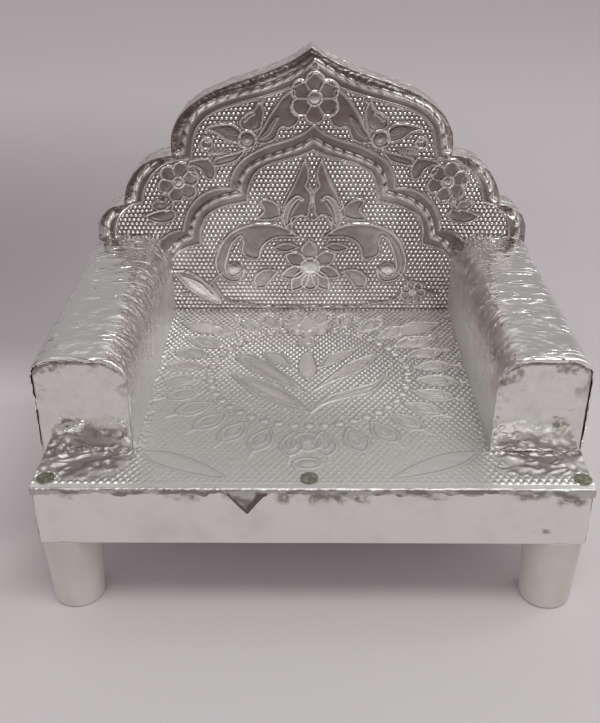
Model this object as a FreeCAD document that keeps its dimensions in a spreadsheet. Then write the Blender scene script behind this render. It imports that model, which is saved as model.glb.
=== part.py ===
import FreeCAD, Part

import math
import os
import types

import Sketcher
from FreeCAD import Placement, Rotation, Vector

# A small wooden deity throne clad in embossed silver foil, on four plastic legs.
# X runs to the right, Y to the back, Z up. The origin is on the floor, under the
# middle of the throne. All sizes are in millimetres.

SIZES = [
    # base board, back and foil
    ("base_width", 100.0),
    ("seat_depth", 72.9),
    ("board_thickness", 11.8),
    ("back_thickness", 7.5),
    ("back_height", 62.0),
    ("foil_thickness", 0.25),
    ("lip_height", 1.2),
    ("flap_width", 7.2),
    ("flap_height", 5.4),
    ("turn_under", 12.0),
    # arms
    ("arm_width", 16.8),
    ("arm_height", 19.7),
    ("arm_setback", 11.9),
    ("arm_outer_round", 3.8),
    ("arm_inner_round", 5.8),
    # legs
    ("leg_height", 16.3),
    ("leg_top_radius", 5.6),
    ("leg_foot_radius", 4.8),
    ("leg_foot_round", 0.5),
    ("leg_overhang", 0.9),
    ("rear_leg_setback", 0.9),
    ("recess_radius", 3.4),
    ("recess_depth", 7.0),
    # screws, nails and tacks
    ("fit_clearance", 0.05),
    ("end_clearance", 0.3),
    ("screw_radius", 1.4),
    ("screw_head_radius", 2.8),
    ("screw_head_height", 1.7),
    ("screw_length", 18.0),
    ("screw_tip_length", 2.5),
    ("nail_radius", 0.7),
    ("nail_head_radius", 1.5),
    ("nail_head_height", 0.6),
    ("nail_length", 24.0),
    ("nail_tip_length", 1.6),
    ("arm_nail_height", 10.0),
    ("tack_radius", 0.5),
    ("tack_head_radius", 1.6),
    ("tack_head_height", 0.35),
    ("tack_length", 9.0),
    ("tack_tip_length", 1.2),
    # embossing
    ("line_width", 0.9),
    ("rope_width", 1.7),
    ("line_relief", 0.4),
    ("rope_relief", 0.55),
    ("leaf_relief", 0.5),
    ("flower_relief", 0.65),
    ("bead_radius", 1.15),
    ("bead_relief", 0.45),
]

# Places on the back, as shares of half its width and of its height above the seat.
OGEE_SHARES = [(0.0, 1.0), (0.16, 0.929), (0.32, 0.884), (0.48, 0.832), (0.586, 0.763), (0.628, 0.621)]
MIDDLE_LOBE_SHARES = [(0.628, 0.621), (0.784, 0.577), (0.866, 0.435)]
LOWER_LOBE_SHARES = [(0.866, 0.435), (0.96, 0.406), (1.0, 0.347)]
BORDER_LINE_SHARES = [
    [(0.0, 0.924), (0.1, 0.874), (0.2, 0.84), (0.4, 0.795), (0.48, 0.756), (0.528, 0.685), (0.546, 0.613)],
    [(0.546, 0.613), (0.64, 0.6), (0.72, 0.561), (0.764, 0.508), (0.78, 0.445)],
    [(0.78, 0.445), (0.85, 0.429), (0.9, 0.39), (0.92, 0.331), (0.92, 0.024)],
]
BORDER_ROPE_SHARES = [
    [(0.0, 0.961), (0.16, 0.89), (0.32, 0.848), (0.46, 0.806), (0.552, 0.742), (0.588, 0.619)],
    [(0.588, 0.619), (0.7, 0.597), (0.786, 0.532), (0.824, 0.442)],
    [(0.824, 0.442), (0.906, 0.416), (0.954, 0.347), (0.96, 0.194), (0.96, 0.024)],
]
ARCH_OUTER_SHARES = [
    [(0.0, 0.731), (0.06, 0.694), (0.16, 0.661), (0.24, 0.637), (0.31, 0.597), (0.37, 0.503)],
    [(0.37, 0.503), (0.44, 0.494), (0.51, 0.468), (0.56, 0.419), (0.59, 0.327)],
    [(0.59, 0.327), (0.65, 0.323), (0.7, 0.29), (0.73, 0.226)],
]
ARCH_ROPE_SHARES = [
    [(0.0, 0.677), (0.1, 0.644), (0.2, 0.613), (0.28, 0.573), (0.33, 0.484)],
    [(0.33, 0.484), (0.39, 0.469), (0.46, 0.448), (0.52, 0.403), (0.552, 0.306)],
    [(0.552, 0.306), (0.62, 0.294), (0.68, 0.258)],
]
ARCH_INNER_SHARES = [
    [(0.0, 0.642), (0.1, 0.613), (0.2, 0.584), (0.26, 0.548), (0.298, 0.448)],
    [(0.298, 0.448), (0.37, 0.434), (0.44, 0.419), (0.49, 0.379), (0.52, 0.274)],
    [(0.52, 0.274), (0.6, 0.258), (0.66, 0.226)],
]
SCROLL_SHARES = [
    (0.12, 0.347),
    (0.24, 0.365),
    (0.36, 0.332),
    (0.432, 0.258),
    (0.444, 0.185),
    (0.388, 0.129),
    (0.328, 0.152),
]
STEM_SHARES = [
    [(0.24, 0.242), (0.18, 0.295), (0.12, 0.31), (0.07, 0.298)],
    [(0.06, 0.048), (0.2, 0.029), (0.34, 0.077)],
    [(0.276, 0.684), (0.21, 0.703), (0.16, 0.755)],
    [(0.32, 0.635), (0.39, 0.619), (0.45, 0.589)],
    [(0.56, 0.585), (0.496, 0.542), (0.45, 0.592)],
]
# Each leaf: its base, the middle of one side, its tip, the middle of the other side.
BACK_LEAF_SHARES = [
    [(0.084, 0.315), (0.144, 0.444), (0.048, 0.602), (0.05, 0.46)],
    [(0.33, 0.306), (0.332, 0.258), (0.27, 0.219), (0.272, 0.268)],
    [(0.186, 0.11), (0.22, 0.155), (0.296, 0.152), (0.252, 0.106)],
    [(0.348, 0.687), (0.412, 0.735), (0.496, 0.723), (0.432, 0.684)],
    [(0.3, 0.713), (0.308, 0.752), (0.268, 0.787), (0.254, 0.745)],
    [(0.672, 0.458), (0.728, 0.455), (0.72, 0.4), (0.668, 0.413)],
    [(0.104, 0.732), (0.168, 0.781), (0.156, 0.842), (0.108, 0.79)],
]
CENTRE_LEAF_SHARES = [
    [(0.0, 0.26), (-0.028, 0.275), (0.0, 0.31), (0.028, 0.275)],
    [(0.0, 0.387), (-0.02, 0.44), (0.0, 0.5), (0.02, 0.44)],
    [(-0.64, 0.153), (-0.528, 0.139), (-0.43, 0.048), (-0.552, 0.058)],
]
# Each rosette: its centre, its petals, and its core's and its own radius over half the width.
BACK_ROSETTE_SHARES = [
    ((0.0, 0.827), 6, 0.034, 0.1),
    ((-0.608, 0.516), 6, 0.022, 0.08),
    ((0.608, 0.516), 6, 0.022, 0.08),
    ((0.0, 0.177), 8, 0.046, 0.12),
    ((0.49, 0.081), 6, 0.02, 0.06),
]
# Each boss: its centre, and its radius over half the width.
BACK_BOSS_SHARES = [((0.312, 0.681), 0.038), ((0.492, 0.665), 0.026), ((0.372, 0.184), 0.024)]

# Places on the seat, as shares of half its width and of its depth.
RING_CENTRE_SHARE = (0.0, 0.562)
RING_RADIUS_SHARES = (0.434, 0.281)
PETAL_INNER_SHARES = (0.48, 0.311)
PETAL_OUTER_SHARES = (0.64, 0.415)
RING_BEADS = 44
RING_PETALS = 30
SEAT_LEAF_SHARES = [
    [(-0.04, 0.508), (-0.2, 0.562), (-0.31, 0.665), (-0.148, 0.612)],
    [(-0.04, 0.391), (-0.212, 0.444), (-0.33, 0.556), (-0.16, 0.505)],
    [(0.01, 0.521), (0.116, 0.617), (0.27, 0.679), (0.172, 0.571)],
    [(0.0, 0.412), (0.14, 0.513), (0.32, 0.562), (0.192, 0.453)],
    [(-0.026, 0.597), (-0.058, 0.645), (-0.026, 0.686), (0.006, 0.645)],
    [(-0.64, 0.126), (-0.46, 0.123), (-0.28, 0.055), (-0.46, 0.058)],
    [(0.64, 0.126), (0.46, 0.123), (0.28, 0.055), (0.46, 0.058)],
    [(-0.58, 0.878), (-0.512, 0.886), (-0.4, 0.823), (-0.488, 0.815)],
    [(0.58, 0.878), (0.512, 0.886), (0.4, 0.823), (0.488, 0.815)],
]
SEAT_STEM_SHARES = [(-0.026, 0.63), (-0.02, 0.48), (-0.012, 0.357)]
SEAT_ROSETTE_SHARES = [
    ((-0.02, 0.2), 6, 0.02, 0.06),
    ((-0.02, 0.105), 6, 0.016, 0.044),
    ((0.0, 0.912), 6, 0.026, 0.08),
]
FLAP_CENTRE_SHARE = -0.232
TACK_SHARES = {"centre_tack": (-0.01, 0.044), "left_tack": (-0.955, 0.041), "right_tack": (0.965, 0.041)}
ARM_NAIL_SHARES = {"front": 0.2, "rear": 0.62}
BACK_NAIL_SHARES = {"left": -0.6, "centre": 0.0, "right": 0.6}

SIDES = {"left": -1, "right": 1}
STATIONS_PER_POINT = 2
PETAL_WAIST_SHARE = 0.55
PETAL_FOOT_SHARE = 0.8
PETAL_HEIGHT_SHARE = 0.8
PETAL_WIDEST_SHARE = 0.35

document = FreeCAD.newDocument("Throne")
sheet = document.addObject("Spreadsheet::Sheet", "Sizes")
for row, (alias, number) in enumerate(SIZES, start=1):
    sheet.set("A%d" % row, alias)
    sheet.set("B%d" % row, str(number))
    sheet.setAlias("B%d" % row, alias)
document.recompute()


class Size:
    """A length, as its number and as the spreadsheet expression that gives it."""

    def __init__(self, text, number):
        self.text = text
        self.number = number

    def joined(self, sign, other, number):
        other_text = other.text if isinstance(other, Size) else repr(other)
        return Size("(%s %s %s)" % (self.text, sign, other_text), number)

    def __float__(self):
        return float(self.number)

    def __add__(self, other):
        return self.joined("+", other, self.number + float(other))

    def __sub__(self, other):
        return self.joined("-", other, self.number - float(other))

    def __mul__(self, other):
        return self.joined("*", other, self.number * float(other))

    def __truediv__(self, other):
        return self.joined("/", other, self.number / float(other))

    def __neg__(self):
        return self * -1

    __radd__ = __add__
    __rmul__ = __mul__


s = types.SimpleNamespace(**{alias: Size("Sizes." + alias, sheet.get(alias)) for alias, number in SIZES})

# Places that several pieces share.
half_width = s.base_width / 2
depth = s.seat_depth + s.foil_thickness * 2 + s.back_thickness
front = -depth / 2
strip_front = front + s.foil_thickness
board_front = strip_front + s.foil_thickness
sheet_face = front + s.seat_depth
back_front = sheet_face + s.foil_thickness
back_rear = back_front + s.back_thickness
rear = back_rear + s.foil_thickness
underside = s.leg_height
board_bottom = underside + s.foil_thickness
board_top = board_bottom + s.board_thickness
seat_top = board_top + s.foil_thickness
arm_front = front + s.arm_setback
arm_length = sheet_face - arm_front
arm_axis = half_width - s.arm_width / 2


def bind(item, bindings):
    """Ties an object's properties to lengths from the spreadsheet."""
    for path, value in bindings.items():
        item.setExpression(path, value.text if isinstance(value, Size) else repr(value))


def place(item, x, y, z, rotation=Rotation()):
    """Turns an object, then ties its place to lengths from the spreadsheet."""
    item.Placement = Placement(Vector(float(x), float(y), float(z)), rotation)
    bind(item, {"Placement.Base.x": x, "Placement.Base.y": y, "Placement.Base.z": z})


def new_body(name):
    body = document.addObject("PartDesign::Body", name)
    body.Label = name
    return body


def origin_plane(body, role):
    return next(item for item in body.Origin.OriginFeatures if item.Role == role)


def polygon_sketch(body, role, points):
    """A closed polygon on one of the body's planes, every corner tied to the spreadsheet."""
    sketch = body.newObject("Sketcher::SketchObject", body.Name + "_outline")
    sketch.AttachmentSupport = (origin_plane(body, role), [""])
    sketch.MapMode = "FlatFace"
    corners = [Vector(float(across), float(up), 0) for across, up in points]
    count = len(corners)
    for index in range(count):
        sketch.addGeometry(Part.LineSegment(corners[index], corners[(index + 1) % count]), False)
    for index in range(count):
        sketch.addConstraint(Sketcher.Constraint("Coincident", index, 2, (index + 1) % count, 1))
    for index, (across, up) in enumerate(points):
        for kind, axis, value in (("DistanceX", -2, across), ("DistanceY", -1, up)):
            if isinstance(value, Size):
                constraint = Sketcher.Constraint(kind, -1, 1, index, 1, float(value))
                number = sketch.addConstraint(constraint)
                sketch.setExpression("Constraints[%d]" % number, value.text)
            else:
                sketch.addConstraint(Sketcher.Constraint("PointOnObject", index, 1, axis))
    return sketch


def turned(name, points):
    """A body turned about Z from a half profile of (radius, height) corners."""
    body = new_body(name)
    sketch = polygon_sketch(body, "XZ_Plane", points)
    turn = body.newObject("PartDesign::Revolution", name + "_turn")
    turn.Profile = sketch
    turn.ReferenceAxis = (sketch, ["V_Axis"])
    turn.Angle = 360
    document.recompute()
    return body


def edges_where(shape, test):
    return ["Edge%d" % (index + 1) for index, edge in enumerate(shape.Edges) if test(edge.BoundBox)]


def rounded_bar(name, width, length, height, left_round, right_round):
    """A bar along Y with its two long top edges rounded, its front left foot at its origin."""
    body = new_body(name)
    sketch = polygon_sketch(body, "XY_Plane", [(0, 0), (width, 0), (width, length), (0, length)])
    pad = body.newObject("PartDesign::Pad", name + "_pad")
    pad.Profile = sketch
    pad.setExpression("Length", height.text)
    document.recompute()
    for side, radius, across in (("left", left_round, 0.0), ("right", right_round, float(width))):
        tip = body.Tip
        near = float(s.fit_clearance)
        top = float(height)

        def long_top_edge(edge_box):
            level = abs(edge_box.ZMin - top) < near and abs(edge_box.ZMax - top) < near
            return level and abs(edge_box.XMin - across) < near and abs(edge_box.XMax - across) < near

        fillet = body.newObject("PartDesign::Fillet", "%s_%s_round" % (name, side))
        fillet.Base = (tip, edges_where(tip.Shape, long_top_edge))
        fillet.setExpression("Radius", radius.text)
        document.recompute()
    return body


def box(name, low, high):
    """A block from its lowest corner to its highest, both given as lengths."""
    item = document.addObject("Part::Box", name)
    bind(item, {"Length": high[0] - low[0], "Width": high[1] - low[1], "Height": high[2] - low[2]})
    place(item, *low)
    return item


def cut(name, base, tools):
    """A block with others taken away."""
    item = document.addObject("Part::Cut", name)
    item.Base = base
    item.Tool = tools[0]
    if len(tools) > 1:
        item.Tool = document.addObject("Part::MultiFuse", name + "_cutters")
        item.Tool.Shapes = tools
    item.Label = name
    return item


UP = Rotation()
DOWN = Rotation(Vector(1, 0, 0), 180)
FORWARD = Rotation(Vector(1, 0, 0), 90)


def drill(name, at, direction, radius, length):
    """A round cutter from a point along a direction."""
    item = document.addObject("Part::Cylinder", name)
    bind(item, {"Radius": radius, "Height": length})
    place(item, *at, direction)
    return item


class Fastener:
    """A screw, nail or tack: its head's outer face lies at its place, its point ahead."""

    def __init__(self, name, at, direction, kind):
        self.name = name
        self.at = at
        self.direction = direction
        self.radius = getattr(s, kind + "_radius")
        self.head_radius = getattr(s, kind + "_head_radius")
        self.head_height = getattr(s, kind + "_head_height")
        self.length = getattr(s, kind + "_length")
        tip_length = getattr(s, kind + "_tip_length")
        profile = [
            (0, 0),
            (self.head_radius, 0),
            (self.head_radius, self.head_height),
            (self.radius, self.head_height),
            (self.radius, self.length - tip_length),
            (0, self.length),
        ]
        self.body = turned(name, profile)
        place(self.body, *at, direction)

    def hole(self, piece):
        """The clearance hole for the shank, in a named piece."""
        name = "%s_hole_in_%s" % (self.name, piece)
        radius = self.radius + s.fit_clearance
        return drill(name, self.at, self.direction, radius, self.length + s.end_clearance)

    def head_hole(self, piece):
        """The recess for the head, in a named piece."""
        name = "%s_recess_in_%s" % (self.name, piece)
        radius = self.head_radius + s.fit_clearance
        return drill(name, self.at, self.direction, radius, self.head_height)


pieces = []

# Legs: tapered round plastic, with a recess underneath for the screw's head.
screws = []
leg_y = {
    "front": front + s.leg_top_radius,
    "rear": sheet_face - s.leg_top_radius - s.rear_leg_setback,
}
for row_name, row_y in leg_y.items():
    for side, sign in SIDES.items():
        leg_x = (half_width + s.leg_overhang - s.leg_top_radius) * sign
        bore = s.screw_radius + s.fit_clearance
        outline = [
            (s.recess_radius, 0),
            (s.leg_foot_radius, 0),
            (s.leg_top_radius, s.leg_height),
            (bore, s.leg_height),
            (bore, s.recess_depth),
            (s.recess_radius, s.recess_depth),
        ]
        leg = turned("%s_%s_leg" % (row_name, side), outline)
        turn = leg.Tip
        foot = float(s.leg_foot_radius)

        def foot_edge(edge_box):
            flat = edge_box.ZMax < float(s.fit_clearance)
            return flat and edge_box.XMax > foot - float(s.fit_clearance)

        rim = leg.newObject("PartDesign::Fillet", leg.Name + "_foot_round")
        rim.Base = (turn, edges_where(turn.Shape, foot_edge))
        rim.setExpression("Radius", s.leg_foot_round.text)
        place(leg, leg_x, row_y, 0)
        pieces.append(leg)
        screw_z = s.recess_depth - s.screw_head_height
        screws.append(Fastener("%s_%s_leg_screw" % (row_name, side), (leg_x, row_y, screw_z), UP, "screw"))

# Tacks in the seat's front margin.
tacks = []
for name, (across_share, along_share) in TACK_SHARES.items():
    tack_at = (half_width * across_share, front + s.seat_depth * along_share, seat_top + s.tack_head_height)
    tacks.append(Fastener(name, tack_at, DOWN, "tack"))

# Nails up into the arms, forward into the arms, and forward into the seat board's rear edge.
arm_nails = {side: [] for side in SIDES}
arm_back_nails = {}
for side, sign in SIDES.items():
    nail_x = arm_axis * sign
    for end, share in ARM_NAIL_SHARES.items():
        nail_at = (nail_x, arm_front + arm_length * share, board_bottom)
        arm_nails[side].append(Fastener("%s_arm_%s_nail" % (side, end), nail_at, UP, "nail"))
    nail_at = (nail_x, back_rear, seat_top + s.arm_nail_height)
    arm_back_nails[side] = Fastener("%s_arm_back_nail" % side, nail_at, FORWARD, "nail")
seat_nails = []
for name, share in BACK_NAIL_SHARES.items():
    nail_at = (half_width * share, back_rear, board_bottom + s.board_thickness / 2)
    seat_nails.append(Fastener("back_%s_nail" % name, nail_at, FORWARD, "nail"))
back_nails = seat_nails + list(arm_back_nails.values())
all_arm_nails = arm_nails["left"] + arm_nails["right"]
pieces += [fastener.body for fastener in screws + tacks + all_arm_nails + back_nails]

# Seat board: plywood, drilled for every screw, nail and tack that enters it.
board_side = half_width - s.foil_thickness
board = box(
    "seat_board_blank",
    (-board_side, board_front, board_bottom),
    (board_side, back_front, board_top),
)
board_holes = [item.hole("seat_board") for item in screws + tacks + all_arm_nails + seat_nails]
board_holes += [item.head_hole("seat_board") for item in all_arm_nails]
pieces.append(cut("seat_board", board, board_holes))

# Arms: a wooden block, a foil wrap over its sides and top, and a foil cap on its front.
for side, sign in SIDES.items():
    rounds = (s.arm_outer_round, s.arm_inner_round)[::-sign]
    wood_rounds = tuple(radius - s.foil_thickness for radius in rounds)
    arm_left = arm_axis * sign - s.arm_width / 2
    wood_left = arm_left + s.foil_thickness
    wood_width = s.arm_width - s.foil_thickness * 2
    wood_height = s.arm_height - s.foil_thickness
    wood_length = arm_length - s.foil_thickness
    wood_y = arm_front + s.foil_thickness
    block = rounded_bar("%s_arm_blank" % side, wood_width, wood_length, wood_height, *wood_rounds)
    place(block, wood_left, wood_y, seat_top)
    block_name = "%s_arm_block" % side
    holes = [item.hole(block_name) for item in arm_nails[side] + [arm_back_nails[side]]]
    pieces.append(cut(block_name, block, holes))
    cover = rounded_bar("%s_arm_cover" % side, s.arm_width, wood_length, s.arm_height, *rounds)
    place(cover, arm_left, wood_y, seat_top)
    pieces.append(cut("%s_arm_wrap" % side, cover, [block]))
    cap = rounded_bar("%s_arm_front_cap" % side, s.arm_width, s.foil_thickness, s.arm_height, *rounds)
    place(cap, arm_left, arm_front, seat_top)
    pieces.append(cap)

# Edge strip: plain foil round the front and sides of the base, turned under it.
strip = box("strip_blank", (-half_width, strip_front, underside), (half_width, back_front, board_top))
window_side = half_width - s.turn_under
window = box(
    "strip_window",
    (-window_side, strip_front + s.turn_under, underside - s.foil_thickness),
    (window_side, back_front + s.foil_thickness, board_top),
)
strip_core = box(
    "strip_core",
    (-board_side, board_front, board_bottom),
    (board_side, back_front + s.foil_thickness, board_top + s.foil_thickness),
)
strip_holes = [item.hole("edge_strip") for item in screws]
pieces.append(cut("base_edge_strip", strip, [window, strip_core] + strip_holes))


def arc(points):
    """An arc through three points."""
    start, middle, end = points
    return Part.Arc(start, middle, end).toShape()


def smooth(points):
    """A smooth curve through points."""
    curve = Part.BSplineCurve()
    curve.interpolate(points)
    return curve


def mirrored(points):
    return [Vector(-point.x, point.y, point.z) for point in points]


def on_back(shares, half=half_width, height=s.back_height):
    """Points on the back's face, in its own plane: across, and up from the seat."""
    return [Vector(across * float(half), up * float(height), 0) for across, up in shares]


def on_seat(shares):
    """Points on the seat, in its own plane: across, and back from the front edge."""
    return [Vector(across * float(half_width), along * float(s.seat_depth), 0) for across, along in shares]


def back_outline(half, height, foot):
    """The cusped outline of the back as a face in its own plane, down to its foot."""
    edges = []
    for shares in (MIDDLE_LOBE_SHARES, LOWER_LOBE_SHARES):
        points = on_back(shares, half, height)
        edges += [arc(points), arc(mirrored(points))]
    ogee = on_back(OGEE_SHARES, half, height)
    edges += [smooth(ogee).toShape(), smooth(mirrored(ogee)).toShape()]
    shoulder = on_back(LOWER_LOBE_SHARES, half, height)[-1]
    corners = [shoulder, Vector(shoulder.x, foot, 0), Vector(-shoulder.x, foot, 0)] + mirrored([shoulder])
    edges += [Part.makeLine(start, end) for start, end in zip(corners, corners[1:])]
    return Part.Face(Part.Wire(Part.__sortEdges__(edges)))


def stand(shape, y):
    """Stands a shape up from its own plane: its height faces the front, its foot is at the seat."""
    shape.Placement = Placement(Vector(0, y, float(seat_top)), FORWARD)
    return shape


def feature(name, shape):
    item = document.addObject("Part::Feature", name)
    item.Label = name
    item.Shape = shape
    return item


foil = float(s.foil_thickness)
wood_thickness = float(s.back_thickness)
base_foot = float(underside - seat_top)

# Back board: a cusped board behind the seat board, from the underside of the base to the crest.
outer_face = back_outline(half_width, s.back_height, base_foot)
board_face = back_outline(board_side, s.back_height - s.foil_thickness, base_foot)
board_shape = board_face.extrude(Vector(0, 0, wood_thickness))
back_blank = feature("back_board_blank", stand(board_shape.copy(), float(back_rear)))
back_holes = [item.hole("back_board") for item in back_nails]
back_holes += [item.head_hole("back_board") for item in back_nails]
pieces.append(cut("back_board", back_blank, back_holes))

# Edge band: plain foil over the cusped edge of the back board.
band_shape = outer_face.extrude(Vector(0, 0, wood_thickness)).cut(board_shape)
pieces.append(feature("back_edge_band", stand(band_shape, float(back_rear))))

# Rear sheet: plain foil over the whole rear face.
pieces.append(feature("back_rear_sheet", stand(outer_face.extrude(Vector(0, 0, foil)), float(rear))))


def raised(face, height):
    """A face of the embossing as a solid, rooted halfway down in the foil."""
    root = Vector(0, 0, foil / 2)
    solid = face.extrude(Vector(0, 0, height + foil / 2))
    solid.translate(root)
    return solid


def ribbon(points, end_width, height, middle_width=None):
    """A raised line along a smooth curve, as wide at its middle as asked, and alike at both ends."""
    line = smooth(points)
    swell = (middle_width or end_width) - end_width
    left = []
    right = []
    stations = len(points) * STATIONS_PER_POINT
    for station in range(stations + 1):
        share = station / stations
        place_on_line = line.FirstParameter + share * (line.LastParameter - line.FirstParameter)
        along = line.tangent(place_on_line)[0]
        half = (end_width + swell * math.sin(math.pi * share)) / 2
        across = Vector(-along.y * half, along.x * half, 0)
        middle = line.value(place_on_line)
        left.append(middle + across)
        right.append(middle - across)
    ends = [Part.makeLine(left[0], right[0]), Part.makeLine(left[-1], right[-1])]
    edges = [smooth(left).toShape(), smooth(right).toShape()] + ends
    return raised(Part.Face(Part.Wire(Part.__sortEdges__(edges))), height)


def leaf(points, height):
    """A raised leaf: its base, the middle of one side, its tip, the middle of the other side."""
    base, one_side, tip, other_side = points
    edges = [arc([base, one_side, tip]), arc([tip, other_side, base])]
    return raised(Part.Face(Part.Wire(edges)), height)


def boss(centre, radius, height):
    """A low domed boss, as a cone's frustum."""
    frustum = Part.makeCone(radius, radius * PETAL_WAIST_SHARE, height + foil / 2)
    frustum.translate(centre + Vector(0, 0, foil / 2))
    return frustum


def rosette(centre, petals, core_radius, radius, height):
    """A boss with leaf-shaped petals round it."""
    parts = [boss(centre, core_radius, height)]
    reach = radius - core_radius
    for index in range(petals):
        angle = 2 * math.pi * index / petals + math.pi / 2
        out = Vector(math.cos(angle), math.sin(angle), 0)
        side = Vector(-out.y, out.x, 0) * (math.pi * core_radius / petals + reach * PETAL_WAIST_SHARE / 2)
        base = centre + out * core_radius * PETAL_FOOT_SHARE
        tip = centre + out * radius
        widest = centre + out * (core_radius + reach * PETAL_WAIST_SHARE)
        parts.append(leaf([base, widest + side, tip, widest - side], height * PETAL_HEIGHT_SHARE))
    return parts


def clear_of(solids, blocks):
    """Solids with everything that lies inside some blocks taken away from each of them."""
    kept = []
    for solid in solids:
        for block in blocks:
            if solid.BoundBox.intersect(block.BoundBox):
                solid = solid.cut(block)
        kept += solid.Solids
    return kept


line_width = float(s.line_width)
rope_width = float(s.rope_width)
line_relief = float(s.line_relief)
leaf_relief = float(s.leaf_relief)
flower_relief = float(s.flower_relief)

# Front sheet of the back: embossed with a rope border, a cusped arch, scrolls and flowers.
relief = []
for shares_of_lines, width, height in (
    (BORDER_LINE_SHARES, line_width, line_relief),
    (BORDER_ROPE_SHARES, rope_width, float(s.rope_relief)),
    (ARCH_OUTER_SHARES, line_width, line_relief),
    (ARCH_ROPE_SHARES, rope_width, float(s.rope_relief)),
    (ARCH_INNER_SHARES, line_width, line_relief),
    (STEM_SHARES, line_width, line_relief),
):
    for shares in shares_of_lines:
        points = on_back(shares)
        relief.append(ribbon(points, width, height))
        relief.append(ribbon(mirrored(points), width, height))
scroll = on_back(SCROLL_SHARES)
for points in (scroll, mirrored(scroll)):
    relief.append(ribbon(points, line_width, leaf_relief, rope_width * 2))
for shares in BACK_LEAF_SHARES:
    relief.append(leaf(on_back(shares), leaf_relief))
    relief.append(leaf(mirrored(on_back(shares)), leaf_relief))
for shares in CENTRE_LEAF_SHARES:
    relief.append(leaf(on_back(shares), leaf_relief))
for centre_share, petals, core_share, radius_share in BACK_ROSETTE_SHARES:
    centre = on_back([centre_share])[0]
    core = core_share * float(half_width)
    relief += rosette(centre, petals, core, radius_share * float(half_width), flower_relief)
for centre_share, radius_share in BACK_BOSS_SHARES:
    centre = on_back([centre_share])[0]
    for at in [centre] + mirrored([centre]):
        relief.append(boss(at, radius_share * float(half_width), flower_relief))
# Behind the arms the embossing is pressed flat.
behind_arms = []
for sign in SIDES.values():
    corner = Vector(float(arm_axis * sign - s.arm_width / 2), 0, 0)
    behind_arms.append(Part.makeBox(float(s.arm_width), float(s.arm_height), foil + flower_relief, corner))
face_outline = back_outline(half_width, s.back_height, 0)
front_sheet = face_outline.extrude(Vector(0, 0, foil)).fuse(clear_of(relief, behind_arms))
holes = [item.hole("back_front_sheet") for item in arm_back_nails.values()]
sheet_blank = feature("back_front_sheet_blank", stand(front_sheet.removeSplitter(), float(back_front)))
pieces.append(cut("back_front_sheet", sheet_blank, holes))

# Seat sheet: embossed with a ring of beads, a ring of petals and a spray of leaves.
relief = []
centre = on_seat([RING_CENTRE_SHARE])[0]
ring = on_seat([RING_RADIUS_SHARES, PETAL_INNER_SHARES, PETAL_OUTER_SHARES])
for index in range(RING_BEADS):
    angle = 2 * math.pi * index / RING_BEADS
    at = centre + Vector(ring[0].x * math.cos(angle), ring[0].y * math.sin(angle), 0)
    relief.append(boss(at, float(s.bead_radius), float(s.bead_relief)))
for index in range(RING_PETALS):
    behind_a_rosette = index in (0, RING_PETALS // 2)
    if behind_a_rosette:
        continue
    angle = 2 * math.pi * index / RING_PETALS - math.pi / 2
    out = Vector(math.cos(angle), math.sin(angle), 0)
    base = centre + Vector(ring[1].x * out.x, ring[1].y * out.y, 0)
    tip = centre + Vector(ring[2].x * out.x, ring[2].y * out.y, 0)
    side = Vector(-out.y, out.x, 0) * ((tip - base).Length * PETAL_WIDEST_SHARE / 2)
    widest = base + (tip - base) * PETAL_WIDEST_SHARE
    relief.append(leaf([base, widest + side, tip, widest - side], leaf_relief))
for shares in SEAT_LEAF_SHARES:
    relief.append(leaf(on_seat(shares), leaf_relief))
relief.append(ribbon(on_seat(SEAT_STEM_SHARES), line_width, line_relief))
for centre_share, petals, core_share, radius_share in SEAT_ROSETTE_SHARES:
    at = on_seat([centre_share])[0]
    core = core_share * float(half_width)
    relief += rosette(at, petals, core, radius_share * float(half_width), flower_relief)
width = float(s.base_width)
seat_length = float(s.seat_depth)
lip = float(s.lip_height)
plate = Part.makeBox(width, seat_length, foil, Vector(-width / 2, 0, 0))
fold = Part.makeBox(width, foil, lip + foil / 2, Vector(-width / 2, 0, foil / 2 - lip))
flap_middle = FLAP_CENTRE_SHARE * width / 2
flap_half = float(s.flap_width) / 2
flap_corners = [
    Vector(flap_middle - flap_half, 0, -lip / 2),
    Vector(flap_middle + flap_half, 0, -lip / 2),
    Vector(flap_middle, 0, foil - float(s.flap_height)),
]
flap = Part.Face(Part.makePolygon(flap_corners + flap_corners[:1])).extrude(Vector(0, foil, 0))
seat_sheet = plate.fuse(relief + [fold, flap]).removeSplitter()
seat_sheet.Placement = Placement(Vector(0, float(front), float(board_top)), UP)
seat_blank = feature("seat_sheet_blank", seat_sheet)
holes = [item.hole("seat_sheet") for item in tacks + all_arm_nails]
pieces.append(cut("seat_sheet", seat_blank, holes))

document.recompute()

faults = []
for item in document.Objects:
    if {"Invalid", "Error"} & set(item.State):
        faults.append("%s: %s" % (item.Name, item.State))
for piece in pieces:
    if piece.Shape.isNull() or not piece.Shape.isValid() or not piece.Shape.Solids:
        faults.append("%s: its shape is empty or not valid" % piece.Label)
if faults:
    raise RuntimeError("; ".join(faults))

os.makedirs("parts", exist_ok=True)
for piece in pieces:
    piece.Shape.exportStep("parts/%s.step" % piece.Label)
    shape_box = piece.Shape.BoundBox
    print(
        "%-26s %d solid(s) %4d faces %9.2f mm3  x %.2f..%.2f  y %.2f..%.2f  z %.2f..%.2f"
        % (
            piece.Label,
            len(piece.Shape.Solids),
            len(piece.Shape.Faces),
            piece.Shape.Volume,
            shape_box.XMin,
            shape_box.XMax,
            shape_box.YMin,
            shape_box.YMax,
            shape_box.ZMin,
            shape_box.ZMax,
        )
    )
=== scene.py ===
import math

import bpy
import numpy as np
from mathutils import Matrix, Vector


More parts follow.
